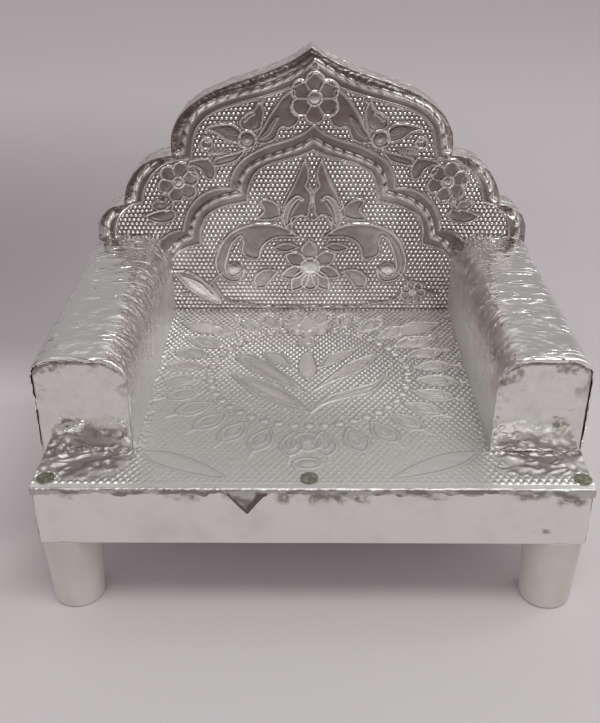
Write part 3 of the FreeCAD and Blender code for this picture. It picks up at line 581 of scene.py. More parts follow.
class Relief:
    """A sheet's embossing, in millimetres over a fine grid of places on it.

    raised holds its heights, ground where dots may stand, and the last the painted shade just outside its
    shapes' outlines, as if in grooves.
    """

    def __init__(self, low, high, cells):
        self.across = np.linspace(low[0], high[0], cells[0] + 1)
        self.along = np.linspace(low[1], high[1], cells[1] + 1)
        self.u, self.v = np.meshgrid(self.across, self.along)
        self.raised = np.zeros(self.u.shape)
        self.ground = np.ones(self.u.shape)
        self.painted_groove_shade = np.zeros(self.u.shape)

    def crumple(self, cell_u, cell_v, seed):
        return crumple(self.u, self.v, cell_u, cell_v, seed)

    def creases(self, cell_u, cell_v, seed):
        return creases(self.u, self.v, cell_u, cell_v, seed)

    def window(self, points, reach):
        """The part of the grid within reach of some points."""
        low, high = np.min(points, axis=0) - reach, np.max(points, axis=0) + reach
        return (
            slice(*np.searchsorted(self.along, (low[1], high[1]))),
            slice(*np.searchsorted(self.across, (low[0], high[0]))),
        )

    def follow(self, curve, reach):
        """Each place's distance from a curve, its side of it and how far along, within reach."""
        distance = np.full(self.u.shape, np.inf)
        side, along = np.zeros(self.u.shape), np.zeros(self.u.shape)
        run = 0.0
        for start, end in zip(curve, curve[1:]):
            step = end - start
            length = math.hypot(*step)
            if length < 1e-6:
                continue
            area = self.window([start, end], reach)
            du, dv = self.u[area] - start[0], self.v[area] - start[1]
            share = ((du * step[0] + dv * step[1]) / length ** 2).clip(0, 1)
            du, dv = du - share * step[0], dv - share * step[1]
            off = np.hypot(du, dv)
            closer = off < distance[area]
            distance[area] = np.where(closer, off, distance[area])
            side[area] = np.where(closer, np.sign(step[0] * dv - step[1] * du), side[area])
            along[area] = np.where(closer, run + share * length, along[area])
            run += length
        return distance, side, along

    def press(self, heights):
        self.raised = np.maximum(self.raised, heights)

    def line(self, curve, width, height, clear=0.35):
        """A rounded ridge along a curve, on ground cleared of dots."""
        distance = self.follow(curve, width / 2 + clear)[0]
        self.press(height * np.cos(np.pi / 2 * (distance * 2 / width).clip(0, 1)))
        self.ground *= eased(distance, width / 2, width / 2 + clear)

    def rope(self, curve, width, height, pitch, slant, clear=0.35):
        """A row of slanted beads along a curve, as in a twisted rope."""
        distance, side, along = self.follow(curve, width / 2 + clear)
        distance = distance.clip(0, 9)
        phase = ((along + slant * side * distance) / pitch) % 1
        bead = np.sqrt(1 - (2 * phase - 1) ** 2)
        self.press(height * bead * np.sqrt(1 - (distance * 2 / width).clip(0, 1) ** 2))
        self.ground *= eased(distance, width / 2, width / 2 + clear)

    def shape(self, outline, dome, rim_height, rim=0.5, clear=0.3):
        """A raised body with a soft shoulder, and a thin ridge along its outline."""
        shoulder, groove_middle = 1.4, rim / 2 + 0.1
        outline = np.vstack([outline, outline[:1]])
        area = self.window(outline, shoulder + 0.1)
        distance = self.follow(outline, shoulder)[0][area]
        within = inside(outline[:-1], self.u[area], self.v[area])
        body = np.where(within, dome * np.sqrt(1 - (1 - (distance / shoulder).clip(0, 1)) ** 2), 0)
        ridge = rim_height * np.cos(np.pi / 2 * (distance * 2 / rim).clip(0, 1))
        self.raised[area] = np.maximum(self.raised[area], np.maximum(body, ridge))
        self.ground[area] *= np.where(within, 0, eased(distance, rim / 2, rim / 2 + clear))
        # Painted shade in a thin band just outside the outline, as if in a groove; no groove is pressed.
        groove_shade = 1 - eased(np.abs(distance - groove_middle), 0.1, 0.3)
        self.painted_groove_shade[area] = np.maximum(self.painted_groove_shade[area], groove_shade)

    def flower(self, centre, petals, reach, core, turn=0.0, height=0.45):
        """A rosette: a domed middle, and rounded petals that share their sides."""
        notch, petal_steps = 0.72, 12
        turns = turn + np.linspace(0, 2 * math.pi, petals * petal_steps, endpoint=False)
        radius = reach * (notch + (1 - notch) * np.abs(np.cos((turns - turn) * petals / 2)) ** 0.7)
        ways = np.stack([np.cos(turns), np.sin(turns)], -1)
        self.shape(centre + radius[:, None] * ways, height * 0.35, height)
        for way in ways[petal_steps // 2::petal_steps]:
            self.line(centre + np.array([[core], [reach * notch]]) * way, 0.45, height * 0.85)
        self.shape(oval(centre, core * 0.85, core * 0.85), height, height * 1.15)

    def dots(self, cells, height, squareness, within):
        """Staggered rows of dots, so many grid cells apart each way, on what ground is left."""
        column, row = np.meshgrid(np.arange(len(self.across)), np.arange(len(self.along)))
        shifted = column + (row + cells[1] // 2) // cells[1] % 2 * cells[0] / 2
        off_column = (shifted + cells[0] / 2) % cells[0] / cells[0] * 2 - 1
        off_row = ((row + cells[1] / 2) % cells[1] / cells[1] * 2 - 1) * (1 - squareness / 2)
        reach = off_column ** 2 + off_row ** 2 + 2 * squareness * np.abs(off_column * off_row)
        self.press(height * (1 - reach).clip(0) * self.ground * within)

    def shell(self, outline, place, thickness):
        """The sheet as a closed shell: its embossed face, its edge and a flat back."""
        hair = 1e-6
        on_sheet = inside(outline, self.u * (1 - hair), self.v + hair)
        kept = on_sheet[:-1, :-1] | on_sheet[1:, :-1] | on_sheet[:-1, 1:] | on_sheet[1:, 1:]
        used = np.zeros(on_sheet.shape, bool)
        for rows in (slice(None, -1), slice(1, None)):
            for columns in (slice(None, -1), slice(1, None)):
                used[rows, columns] |= kept
        number = np.full(on_sheet.shape, -1)
        number[used] = np.arange(used.sum())
        u, v = self.u.copy(), self.v.copy()
        stray = used & ~on_sheet
        u[stray], v[stray] = nearest_on(outline, u[stray], v[stray])[:2]
        quads = squares(number)[kept]
        edges = {tuple(edge) for turn in range(4) for edge in quads[:, [turn, (turn + 1) % 4]].tolist()}
        following = {a: b for a, b in edges if (b, a) not in edges}
        loop = [min(following)]
        while following[loop[-1]] != loop[0]:
            loop.append(following[loop[-1]])
        top = place(u[used], v[used], self.raised[used])
        back = place(u[used], v[used], np.full(used.sum(), -thickness))[loop]
        first, count = len(top), len(loop)
        walls = [[loop[(i + 1) % count], loop[i], first + i, first + (i + 1) % count] for i in range(count)]
        faces = quads.tolist() + walls + [list(range(first + count - 1, first - 1, -1))]
        smooth = [True] * len(quads) + [False] * (count + 1)
        return (np.concatenate([top, back]), faces, smooth), used


def oval(centre, along, across, angle=0.0):
    """The outline of an ellipse, from its half length along an angle and its half width."""
    turns = np.linspace(0, 2 * np.pi, 20, endpoint=False)
    a, b = along * np.cos(turns), across * np.sin(turns)
    return np.stack([
        centre[0] + a * math.cos(angle) - b * math.sin(angle),
        centre[1] + a * math.sin(angle) + b * math.cos(angle),
    ], -1)


cap_cells = (62, 66)
cap_depth = 0.12
for side_name, side in sides.items():
    low, high = box_in_mm(side_name + "_arm_front_cap")
    places, outward = arm_section(side, low, high)
    inset = 0.42 + 0.28 * eased(outward[:, 1:], 0.3, 0.9)
    inset -= 0.22 * eased(-side * outward[:, :1], 0.5, 1.0)
    cap_line = places - outward * inset
    cap = Relief(low[::2] - (1, 0), high[::2] + (1, 0), cap_cells)
    cap.raised = 0.04 * cap.crumple(6.0, 6.0, seed=40 + side) + 0.02 * cap.crumple(1.6, 1.6, seed=43)
    from_edge = nearest_on(cap_line, cap.u, cap.v)[2]
    inner_edge = eased(-side * cap.u, -35.8, -34.2) * (side > 0)
    cap.raised += inner_edge * 0.12 * cap.creases(0.9, 1.8, seed=47)
    cap.raised -= cap_depth * (1 - eased(from_edge, 0, 0.5))
    # A blotchy band along each cap's edge, fading out towards its foot, is painted shade beside the wrap's
    # folded edge; the whole cap is also dulled a little.
    blotchy = 1.6 + 2.0 * cap.crumple(3.0, 2.2, seed=45 + side)
    smudge_and_painted_shade = (1 - eased(from_edge, blotchy - 0.8, blotchy)) * eased(cap.v, low[2] + 9, high[2] - 3)
    shell, used = cap.shell(
        cap_line, lambda u, v, raised: np.stack([u, low[1] + cap_depth - raised, v], -1), thickness=0.12)
    marks = {"smudge_and_painted_shade": smudge_and_painted_shade[used] * 0.7 + 0.1}
    nodes = [side_name + "_arm_front_cap"]
    make_piece(side_name + "_arm_cap", [shell], plain_foil, nodes, marks)


# Back edge band: plain foil wrapped round the cusped edge of the back board before its faces are
# covered. The line it follows is the board's own, taken from the sheet on its rear face.
half_line = sorted({
    (round(point.co.z / mm, 3), round(point.co.x / mm, 3))
    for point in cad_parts["back_rear_sheet"].data.vertices if point.co.x > -1e-6
})
half_line = np.array([(x, z) for z, x in half_line])
board_line = np.vstack([half_line, half_line[-2::-1] * (-1, 1)])
band_low, band_high = box_in_mm("back_edge_band")
places, ways, ahead = spaced(board_line, 0.4)
s, y = np.meshgrid(ways, np.append(np.arange(band_low[1], band_high[1], 0.5), band_high[1]))
raised = 0.05 - 0.10 * crumple(s, y, 1.6, 1.2, seed=50) - 0.10 * creases(s, y, 1.1, 1.4, seed=51)
outer, inward = over_line(places, -leftward(ahead), raised.clip(-0.12, 0.3), y)
band_shell = folded_foil(outer.clip(band_low, band_high), inward, thickness=0.1)
make_piece("edge_band", [band_shell], crushed_foil, ["back_edge_band"])


# Back rear sheet: plain foil glued over the back's rear face, with a few long soft wrinkles.
# It stops a hair short of the board's edge, where the band shows.
def turned_over(shell):
    """A shell with its faces' other sides out."""
    vertices, faces, smooth = shell
    return vertices, [face[::-1] for face in faces], smooth


rear_low, rear_high = box_in_mm("back_rear_sheet")
rear = Relief(rear_low[::2], rear_high[::2], (125, 93))
rear.raised = 0.05 * rear.crumple(18.0, 7.0, seed=60) + 0.04 * rear.creases(22.0, 4.0, seed=61)
rear.raised = (rear.raised - 0.1).clip(-0.2, 0)
shell, used = rear.shell(
    board_line * 0.998, lambda u, v, raised: np.stack([u, rear_high[1] + raised, v], -1), thickness=0.22)
make_piece("rear_sheet", [turned_over(shell)], plain_foil, ["back_rear_sheet"])


# Back front sheet: one embossed foil glued over the face of the back. Its die pressed a rope border,
# an arch, rosettes and scrolling leaves, on a ground of small staggered dots. The design is drawn in
# millimetres across from the middle and up from the seat, and most of it is the same on both sides.
def curve_through(points, step=0.4):
    """A smooth curve through points, as places about a step apart."""
    points = np.array(points, float)
    marks = lengths_along(points)
    slopes = np.gradient(points, marks, axis=0)
    ways = np.linspace(0, marks[-1], max(3, int(marks[-1] / step) + 1))
    at = np.searchsorted(marks, ways, side="right").clip(1, len(marks) - 1) - 1
    length = (marks[at + 1] - marks[at])[:, None]
    t = (ways - marks[at])[:, None] / length
    ease = t * t * (3 - 2 * t)
    bend = length * t * (1 - t) * ((1 - t) * slopes[at] - t * slopes[at + 1])
    return points[at] + ease * (points[at + 1] - points[at]) + bend


def leaf(points):
    """A closed smooth outline through points, with its only corner at the first of them."""
    return curve_through(list(points) + [points[0]])


def ribbon(points, widths):
    """The outline of a band along a curve, with its widths from end to end."""
    line = curve_through(points)
    ahead = np.gradient(line, axis=0)
    ahead /= np.hypot(*ahead.T)[:, None]
    half = np.interp(np.linspace(0, 1, len(line)), np.linspace(0, 1, len(widths)), widths) / 2
    across = leftward(ahead) * half[:, None]
    return np.vstack([line + across, (line - across)[::-1]])


def teardrop(root, tip, width):
    """The outline of a pointed leaf from its root to its tip."""
    root, tip = np.array(root, float), np.array(tip, float)
    t = np.linspace(0, 1, 18)
    axis = tip - root
    across = np.array([-axis[1], axis[0]]) / math.hypot(*axis)
    line = root + t[:, None] * axis
    half = (width / 2 * np.sin(np.pi * t ** 1.25) ** 0.8)[:, None] * across
    return np.vstack([line + half, (line - half)[-2:0:-1]])


def on_side(points, side):
    """Points on the right half of the back's design, which leans a little, or on its left half."""
    points = np.array(points, float) * (side, 1)
    points[..., 0] += back_middle + back_lean * points[..., 1]
    return points


def lobed(lobes, foot):
    """The closed region under a row of lobes and its mirror image, down to a foot on each side."""
    half = np.vstack([curve_through(lobe) for lobe in lobes] + [foot])
    return np.vstack([on_side(half, 1), on_side(half[::-1], -1)])


back_middle, back_lean = -0.4, 0.02
front_low, front_high = box_in_mm("back_front_sheet")
seat_level = front_low[2]
border_line = (
    [(0, 56.8), (3, 54.7), (5.5, 53.6), (8.2, 52.6), (11.5, 51.6), (14.9, 50.7), (18.5, 49.7), (21.2, 48.8),
        (23.8, 47.4), (25.7, 45.5), (26.7, 43.5), (27.2, 41), (27.7, 38.1)],
    [(27.7, 38.1), (30.9, 37.6), (33.8, 36.6), (36, 35.1), (37.5, 33.2), (38.5, 31.3), (39.3, 28)],
    [(39.3, 28), (42.5, 26.8), (45, 24.2), (46, 20.5), (46, 19)],
)
border_rope = (
    [(0, 59.2), (2.6, 57.6), (6.3, 55.6), (11, 53.8), (16.6, 52.3), (21.1, 50.9), (25.7, 48.5), (28, 45.5),
        (28.9, 42.5), (29.6, 39.6)],
    [(29.6, 39.6), (33, 38.9), (36.5, 37), (39, 34.5), (40.4, 31.5), (41.2, 28.6)],
    [(41.2, 28.6), (45, 27.2), (47.3, 24), (48, 20.5), (48, 19)],
)
arch_outer = (
    [(0, 45.6), (2.2, 43.8), (5.6, 42.3), (10.2, 40.9), (13.6, 39.3), (16.2, 37.5), (17.9, 35.2),
        (18.7, 33), (18.9, 31.1)],
    [(18.9, 31.1), (22.2, 30.9), (25.3, 29.6), (27.9, 27.1), (29.4, 24), (30, 21)],
    [(30, 21), (32, 20.7), (34.7, 19.2), (36.5, 14)],
)
arch_rope = (
    [(0, 42.4), (3.3, 40.5), (6.1, 39.5), (8.4, 38.8), (11.3, 37.7), (14.6, 35.8), (16.3, 33.2),
        (16.6, 29.9)],
    [(16.6, 29.9), (19, 29.4), (21.3, 28.8), (24.4, 27.1), (26.6, 24.9), (27.8, 22.1), (28.4, 19.4)],
    [(28.4, 19.4), (31, 18.1), (33, 16)],
)
arch_inner = (
    [(0, 39.9), (3.1, 38.6), (6.9, 37.5), (10.5, 36.5), (13, 34.8), (14.5, 32), (15.2, 28)],
    [(15.2, 28), (17.5, 27.5), (20.2, 26.9), (22.4, 26), (24.6, 24.4), (25.7, 22.1), (26.2, 17.6)],
    [(26.2, 17.6), (30.3, 16.3), (33, 14)],
)
dot_pitch, dot_row = 1.05, 1.02
dot_cells = 5
half_columns = math.ceil(50 / dot_pitch)
panel_half = half_columns * dot_pitch
panel_rows = math.ceil((front_high[2] - seat_level) / dot_row)
panel = Relief(
    (-panel_half, 0), (panel_half, panel_rows * dot_row),
    (2 * half_columns * dot_cells, panel_rows * dot_cells),
)

# Each form has the height of its dome and of the ridge round it. A leaf's points start at its tip, a
# ribbon has its widths from end to end, and an oval its centre, half length and half width.
leaves = (
    (0.15, 0.4, [(13.1, 41.8), (11.1, 41.5), (8.8, 42.5), (7.2, 45.2), (5.6, 45), (4, 45.9), (3.4, 47.3),
        (4.6, 48.8), (4.8, 50.6), (4.4, 53.2), (7.1, 51.5), (8.6, 49.4), (10.2, 47), (11.5, 44.6),
        (12.6, 42.8)]),
    (0.15, 0.45, [(16.4, 44.6), (18.2, 45.7), (20.1, 45.8), (23.9, 44.7), (21.2, 43.6), (18.8, 42),
        (16.8, 41.7)]),
    (0.3, 0.25, [(16.5, 43.4), (18.1, 43.5), (20.3, 44.9), (18.4, 44.9)]),
    (0.15, 0.42, [(14.9, 44.3), (16.2, 45.3), (16.4, 46.5), (15.4, 47.6), (13.2, 48.9), (12.1, 50.6),
        (11.4, 49.3), (11.5, 46.6), (11.9, 45), (13.1, 44.3)]),
    (0.2, 0.4, [(15.3, 40.2), (16.2, 38.8), (17.4, 37.7), (19.9, 36.8), (22.4, 36.6), (22.4, 37.6),
        (20.3, 38.6), (17.1, 39.4)]),
    (0.2, 0.4, [(27.9, 37.6), (23.1, 37.6), (22.4, 36.3), (22.2, 35.1), (23.1, 33.2), (24.5, 34.1),
        (25, 35.3), (26.4, 36.3), (28.2, 36.6)]),
    (0.3, 0.35, [(28.2, 35.7), (27.9, 34.9), (26.6, 34.1), (27.1, 35.5)]),
    (0.3, 0.35, [(32, 28.2), (33.2, 26.8), (34.0, 25.6), (32.6, 26.2)]),
    (0.25, 0.4, [(38.7, 24.5), (35.9, 25.6), (31.8, 25.4), (32.1, 23.8), (34, 23), (37.1, 23.2)]),
    (0.15, 0.42, [(1.9, 37.7), (3, 34.8), (4.4, 31.5), (5.8, 28.8), (6.7, 26), (6.9, 23.5), (6, 22),
        (5, 22.8), (4.6, 24), (3, 24.6), (1.3, 24.4), (0.6, 26.8), (0.5, 30.2), (1.6, 31.8), (1.1, 33.4),
        (1, 35)]),
    (0.2, 0.45, [(3, 19.2), (5.7, 21.3), (7.9, 22.15), (10.7, 22.5), (13.6, 22.4), (16.3, 21.6),
        (18.8, 20.3), (20.8, 18), (22.1, 15.2), (22.6, 13), (22.4, 11.1), (21.2, 9.1), (19.2, 8),
        (17.3, 8.1), (16.1, 9.7), (15.9, 11.1), (17, 10), (18.6, 9.2), (20, 10), (20.5, 11.9), (20, 14.1),
        (19.2, 16.5), (18, 18.6), (16.5, 19.7), (16, 18), (16.2, 15.6), (14.9, 14.2), (12.4, 14),
        (11.9, 16), (10.4, 18.2), (8, 19.3), (5.4, 19.35)]),
    (0.2, 0.4, [(7.8, 10.6), (9.5, 11), (11.9, 10.5), (13.4, 8.7), (12.8, 6.5), (11.1, 6.5), (9.6, 8.4)]),
    (0.2, 0.4, [(3.0, 16.7), (5.6, 17.7), (8.6, 16.5), (6.4, 15.6)]),
    (0.12, 0.4, [(7.4, 24.3), (7.9, 27), (9.6, 28.2), (11.9, 28.2), (11, 25.9), (12.4, 23.9), (9.8, 23.6)]),
)
ribbons = (
    (0.35, 0.3, (0.4, 0.8, 0.7, 0.3), [(11.7, 42.7), (10.1, 44.1), (9.2, 45.7), (8, 47.3)]),
    (0.3, 0.35, (0.3, 0.7, 0.4), [(15.4, 46.4), (14.6, 47.6), (13.2, 48.3)]),
    (0.25, 0.25, (0.3, 0.7, 0.3), [(13.3, 48.4), (12.9, 46.6), (13.2, 45.2)]),
    (0.4, 0.45, (0.4, 0.9, 1.1, 0.9, 0.4), [(5.95, 21.7), (6.05, 24.9), (4.9, 27.7), (3.2, 29),
        (2.2, 28.3)]),
)
ovals = (
    (0.1, 0.5, (14.9, 42.3), 2.0, 2.0),
    (0.4, 0.3, (14.9, 42.3), 1.1, 1.1),
    (0.5, 0.4, (11.8, 50.9), 0.6, 0.5),
    (0.1, 0.45, (24, 41.5), 1.3, 1.3),
    (0.45, 0.4, (23.8, 42.3), 0.6, 0.5),
    (0.4, 0.3, (18.3, 11.2), 1.7, 1.5),
)
for side in (1, -1):
    for lobes, width, height in (
        (border_line, 0.52, 0.32), (arch_outer, 0.52, 0.34), (arch_inner, 0.5, 0.32),
    ):
        for lobe in lobes:
            panel.line(on_side(curve_through(lobe), side), width, height, clear=0.3)
    for lobes, width, pitch, slant in ((border_rope, 1.2, 2.6, 0.9), (arch_rope, 1.15, 2.5, 0.6)):
        for lobe in lobes:
            panel.rope(on_side(curve_through(lobe), side), width, 0.36, pitch, slant * side)
    for dome, rim, points in leaves:
        panel.shape(on_side(leaf(points), side), dome, rim)
    for dome, rim, widths, points in ribbons:
        panel.shape(on_side(ribbon(points, widths), side), dome, rim)
    for dome, rim, centre, along, across in ovals:
        panel.shape(on_side(oval(centre, along, across), side), dome, rim)
    panel.shape(on_side(oval((35.2, 27.1), 1.7, 1.15, angle=0.1), side), 0.3, 0.4)
    panel.flower(on_side((30.7, 32.6), side), 6, 4.7, 1.5, turn=0.3)
    for points, height in (
        ([(4.7, 22.5), (4.6, 25.2), (3.1, 27.8)], 0.35),
        ([(4.75, 20.2), (4.7, 22), (3.65, 23.9), (2.15, 24.6), (0.75, 23.7)], 0.4),
        ([(0.9, 31.6), (0, 30.4)], 0.4),
        ([(13.9, 19.2), (15.1, 18), (15.4, 15.3)], 0.25),
        ([(23.6, 7.5), (20.9, 3.5), (15, 2), (6.2, 1), (0, 1.3)], 0.35),
        ([(21, 10.5), (26, 6), (31, 4.5)], 0.3),
    ):
        panel.line(on_side(curve_through(points), side), 0.55, height, clear=0.25)
    for step in range(4):
        upper, lower = (19.3 + 1.15 * step, 39.4), (34 + 0.8 * step, 28.5 - 0.25 * step)
        panel.shape(on_side(oval(upper, 0.4, 0.4), side), 0.45, 0.4, rim=0.4)
        panel.shape(on_side(oval(lower, 0.3, 0.3), side), 0.4, 0.35, rim=0.3)
panel.line(on_side(curve_through([(0, 30.4), (0, 29), (0, 27.7)]), 1), 0.6, 0.4)
panel.flower(on_side((0, 51.4), 1), 6, 5.6, 1.8, turn=math.pi / 2, height=0.5)
panel.shape(on_side(oval((0, 58), 0.5, 0.5), 1), 0.5, 0.4)
lotus = (-0.3, 11.8)
for tip, width in (
    ((-0.6, 18.4), 3.6), ((-6.0, 14.9), 3.4), ((5.6, 15.1), 3.4), ((-7.2, 9.2), 3.0), ((6.8, 9.4), 3.0),
    ((-4.6, 5.6), 3.4), ((4.1, 5.7), 3.4),
):
    panel.shape(teardrop(lotus, tip, width), 0.18, 0.45)
panel.shape(oval((-0.3, 7.9), 2.0, 2.1), 0.18, 0.45)
panel.shape(oval(lotus, 2.2, 2.2), 0.5, 0.55)
foot_leaf = [(-33, 10.5), (-29.5, 10.2), (-26, 8), (-22.8, 4.2), (-22, 2.2), (-26, 3.6), (-30, 6.5)]
panel.shape(leaf(foot_leaf), 0.4, 0.5)
panel.shape(ribbon([(-31, 9.2), (-27.5, 7.4), (-24, 4.2)], (0.3, 0.9, 0.3)), 0.6, 0.6)
panel.flower((24.5, 5), 7, 3.0, 0.9)

# The dots lie inside the arch and in the spandrels above it, but not between the border's lines.
in_arch = inside(lobed(arch_inner, (50, 0)), panel.u, panel.v)
under_border = inside(lobed(border_line, (46, 0)), panel.u, panel.v)
over_arch = ~inside(lobed(arch_outer, (60, 0)), panel.u, panel.v)
dotted = panel.ground * (in_arch | (under_border & over_arch))
panel.dots((dot_cells, dot_cells), 0.12, 0, dotted)
board_face = board_line - (0, seat_level)
arm_low, arm_high = (corner - (0, 0, seat_level) for corner in box_in_mm("right_arm_wrap"))
board_face = board_face[board_face[:, 1] > arm_high[2]]
ledge = arm_high[2] - 2
foot = [(arm_low[0] + 1, 0), (arm_low[0] + 1, ledge - 7), (arm_low[0] + 7, ledge), (arm_high[0], ledge)]
panel_line = np.array([*foot, *board_face, *((-x, z) for x, z in reversed(foot))])
from_edge = nearest_on(panel_line, panel.u, panel.v)[2]
outside_rope = (1 - eased(from_edge, 1.7, 2.3)) * ~under_border
foot_crush = 1 - eased(panel.v, 1.0, 5.0 + 4.0 * eased(np.abs(panel.u), 18, 30))
panel.raised += 0.035 * panel.crumple(6.0, 5.0, seed=70) + 0.015 * panel.crumple(1.1, 1.1, seed=71)
rim_swell = 0.2 * np.exp(-((from_edge - 1.5) / 0.9) ** 2)
panel.raised += outside_rope * (0.06 * panel.crumple(1.5, 1.3, seed=72) + rim_swell)
panel.raised += foot_crush * 0.025 * panel.creases(1.6, 0.9, seed=73)
panel.raised -= 0.25 * (1 - eased(from_edge, 0, 1.0)) * (panel.v > arm_high[2])


rubbed = (0.58, 0.575, 0.56)
painted_shade_colour = (0.175, 0.14, 0.142)


def stamped_foil(
    name, axes, corner, spacings, radii, squareness, depth, gap, crest, hollow_tarnish_and_shade, smooth_tarnish_and_shade, frost, metal
):
    """Embossed foil whose die pressed staggered rows of dots where the piece is marked dotted.

    The dots' spacings and radii are in millimetres from a corner, and gap is how much of each dot stays
    bright.
    On smooth parts the hollow colour, partly tarnish and partly painted shade, is laid as strongly as the
    smooth setting says. frost is the roughness on the dots and on smooth parts, and metal says how
    metallic the foil is where crisp and where worn.
    """
    material, shader, where = new_finish(name)
    parts = dict(zip("XYZ", where.parts()))
    ways = [parts[axis] - low for axis, low in zip(axes, corner)]
    domes = []
    for shift in (0.5, 0.0):
        across, along = (
            ((way * (1 / spacing) + shift).math("FRACT") - 0.5) * (spacing / radius)
            for way, spacing, radius in zip(ways, spacings, radii)
        )
        reach = across * across + along * along + (across * along).math("ABSOLUTE") * (2 * squareness)
        domes.append((1 - reach).math("MAXIMUM", 0.0))
    dots = domes[0].math("MAXIMUM", domes[1])
    mask, relief, painted_shade_and_smudge, crushed, worn = (
        where.node("ShaderNodeAttribute", {"attribute_name": mark}, output=2)
        for mark in ("dotted", "relief", "smudge_and_painted_shade", "crushed", "worn")
    )
    cloud = noise(where, 9.0)
    between = (1 - mask * dots * (1 / gap)).math("MAXIMUM", 0.0)
    # Low ground and the gaps between dots take the hollow colour: partly tarnish, partly painted shade and
    # dark reflection.
    low_ground = (1 - relief.ramp(0.15, 0.42)) * between * (mask * (1 - smooth_tarnish_and_shade) + smooth_tarnish_and_shade)
    tarnish_and_painted_shade = low_ground * cloud.ramp(0.3, 0.6, 0.6, 1.0) + worn * 0.3
    tarnish_and_painted_shade += crushed * noise(where, 2.5).ramp(0.4, 0.6) * 0.4
    foil_colour = worn.ramp(0.4, 1.0, 0.0, 0.75).mix(tarnish_and_painted_shade.mix(crest, hollow_tarnish_and_shade), rubbed)
    # The smudge mark is painted shade here: at the back's foot, beside the seat's ridges, on its crushed
    # corners and on its lip.
    painted_shade_and_smudge.mix(foil_colour, painted_shade_colour).feed(shader, "Base Color")
    crisp_metal, worn_metal = metal
    (worn * (worn_metal - crisp_metal) + crisp_metal).feed(shader, "Metallic")
    on_dots, on_smooth = frost
    frosting = mask * (on_dots - on_smooth) + on_smooth
    (cloud * 0.12 + frosting + worn * 0.12 + painted_shade_and_smudge * 0.06).feed(shader, "Roughness")
    fine = noise(where, 0.6) * 0.02 + crushed * crush(where, 1.5) * 0.3
    bump(mask * dots * depth + fine, 1.0).feed(shader, "Normal")
    return material


# The back's hollow colour, a dark pinkish brown over nearly all its low and smooth ground, is partly tarnish
# and partly painted dark reflection.
back_foil = stamped_foil(
    "back_foil", "XZ", (-panel_half, seat_level), (dot_pitch, 2 * dot_row),
    radii=(0.5, 0.44), squareness=0, depth=0.2, gap=1.0, crest=(0.95, 0.94, 0.915),
    hollow_tarnish_and_shade=(0.37, 0.31, 0.295), smooth_tarnish_and_shade=0.95, frost=(0.16, 0.18), metal=(1.0, 1.0),
)
solid_foil = 0.25
panel_face = front_high[1] - solid_foil
shell, used = panel.shell(
    panel_line, lambda u, v, raised: np.stack([u, panel_face - raised, v + seat_level], -1), thickness=0.2)
# The smudge mark along the foot, where the back meets the seat, is painted shade.
marks = {
    "relief": panel.raised[used],
    "dotted": dotted[used],
    "crushed": np.maximum(outside_rope * 0.35, foot_crush * 0.15)[used],
    "smudge_and_painted_shade": 0.55 * (1 - eased(panel.v, 0.4, 1.3))[used],
}
make_piece("back_front", [shell], back_foil, ["back_front_sheet"], marks)


# Seat sheet: one embossed foil over the seat and its front margin, tacked down in three places.
# Its front edge is folded down over the base, with a small flap left of the middle tack. The design
# is drawn in millimetres across from the middle and back from the front edge.
seat_low, seat_high = box_in_mm("seat_sheet")
margin_depth = box_in_mm("left_arm_front_cap")[0][1] - seat_low[1]
seat_half = box_in_mm("right_arm_wrap")[0][0] + 0.5
lip_round = 0.5
dots_from = 1.6
lift = 0.03
tack_clear, tack_far = 1.9, 3.2
seat_pitch, seat_row = 1.35, 1.05
seat_cells = (5, 4)
half_columns = math.ceil(seat_high[0] / seat_pitch)
seat_rows = math.ceil((seat_high[1] - seat_low[1]) / seat_row)
seat = Relief(
    (-half_columns * seat_pitch, 0), (half_columns * seat_pitch, seat_rows * seat_row),
    (2 * half_columns * seat_cells[0], seat_rows * seat_cells[1]),
)
bead_centre = np.array((-0.6, 41.5))
bead_radii = np.array((21.2, 20.8))


def all_round(count, shift):
    """Directions evenly all round."""
    angles = 2 * math.pi * (np.arange(count) + shift) / count
    return np.stack([np.cos(angles), np.sin(angles)], -1)


def spoke(way, *reaches):
    """Places at these distances from the middle of the ring of beads."""
    return bead_centre + np.array(reaches)[:, None] * way


for way in all_round(44, 0):
    seat.shape(oval(bead_centre + bead_radii * way, 0.65, 0.65), 0.5, 0.4, rim=0.4, clear=0.4)
for way in all_round(28, 0.5):
    outline = teardrop(*spoke(way, 23, 31.5), 4.4)
    if way[1] > 0.5:
        seat.line(np.vstack([outline, outline[:1]]), 0.5, 0.42, clear=0.1)
    else:
        seat.shape(outline, 0.1, 0.45, rim=0.45, clear=0.2)
    seat.shape(teardrop(*spoke(way, 24.2, 29.3), 2.1), 0.2, 0.42, rim=0.4)
    seat.line(spoke(way, 31, 33.6), 0.5, 0.35)

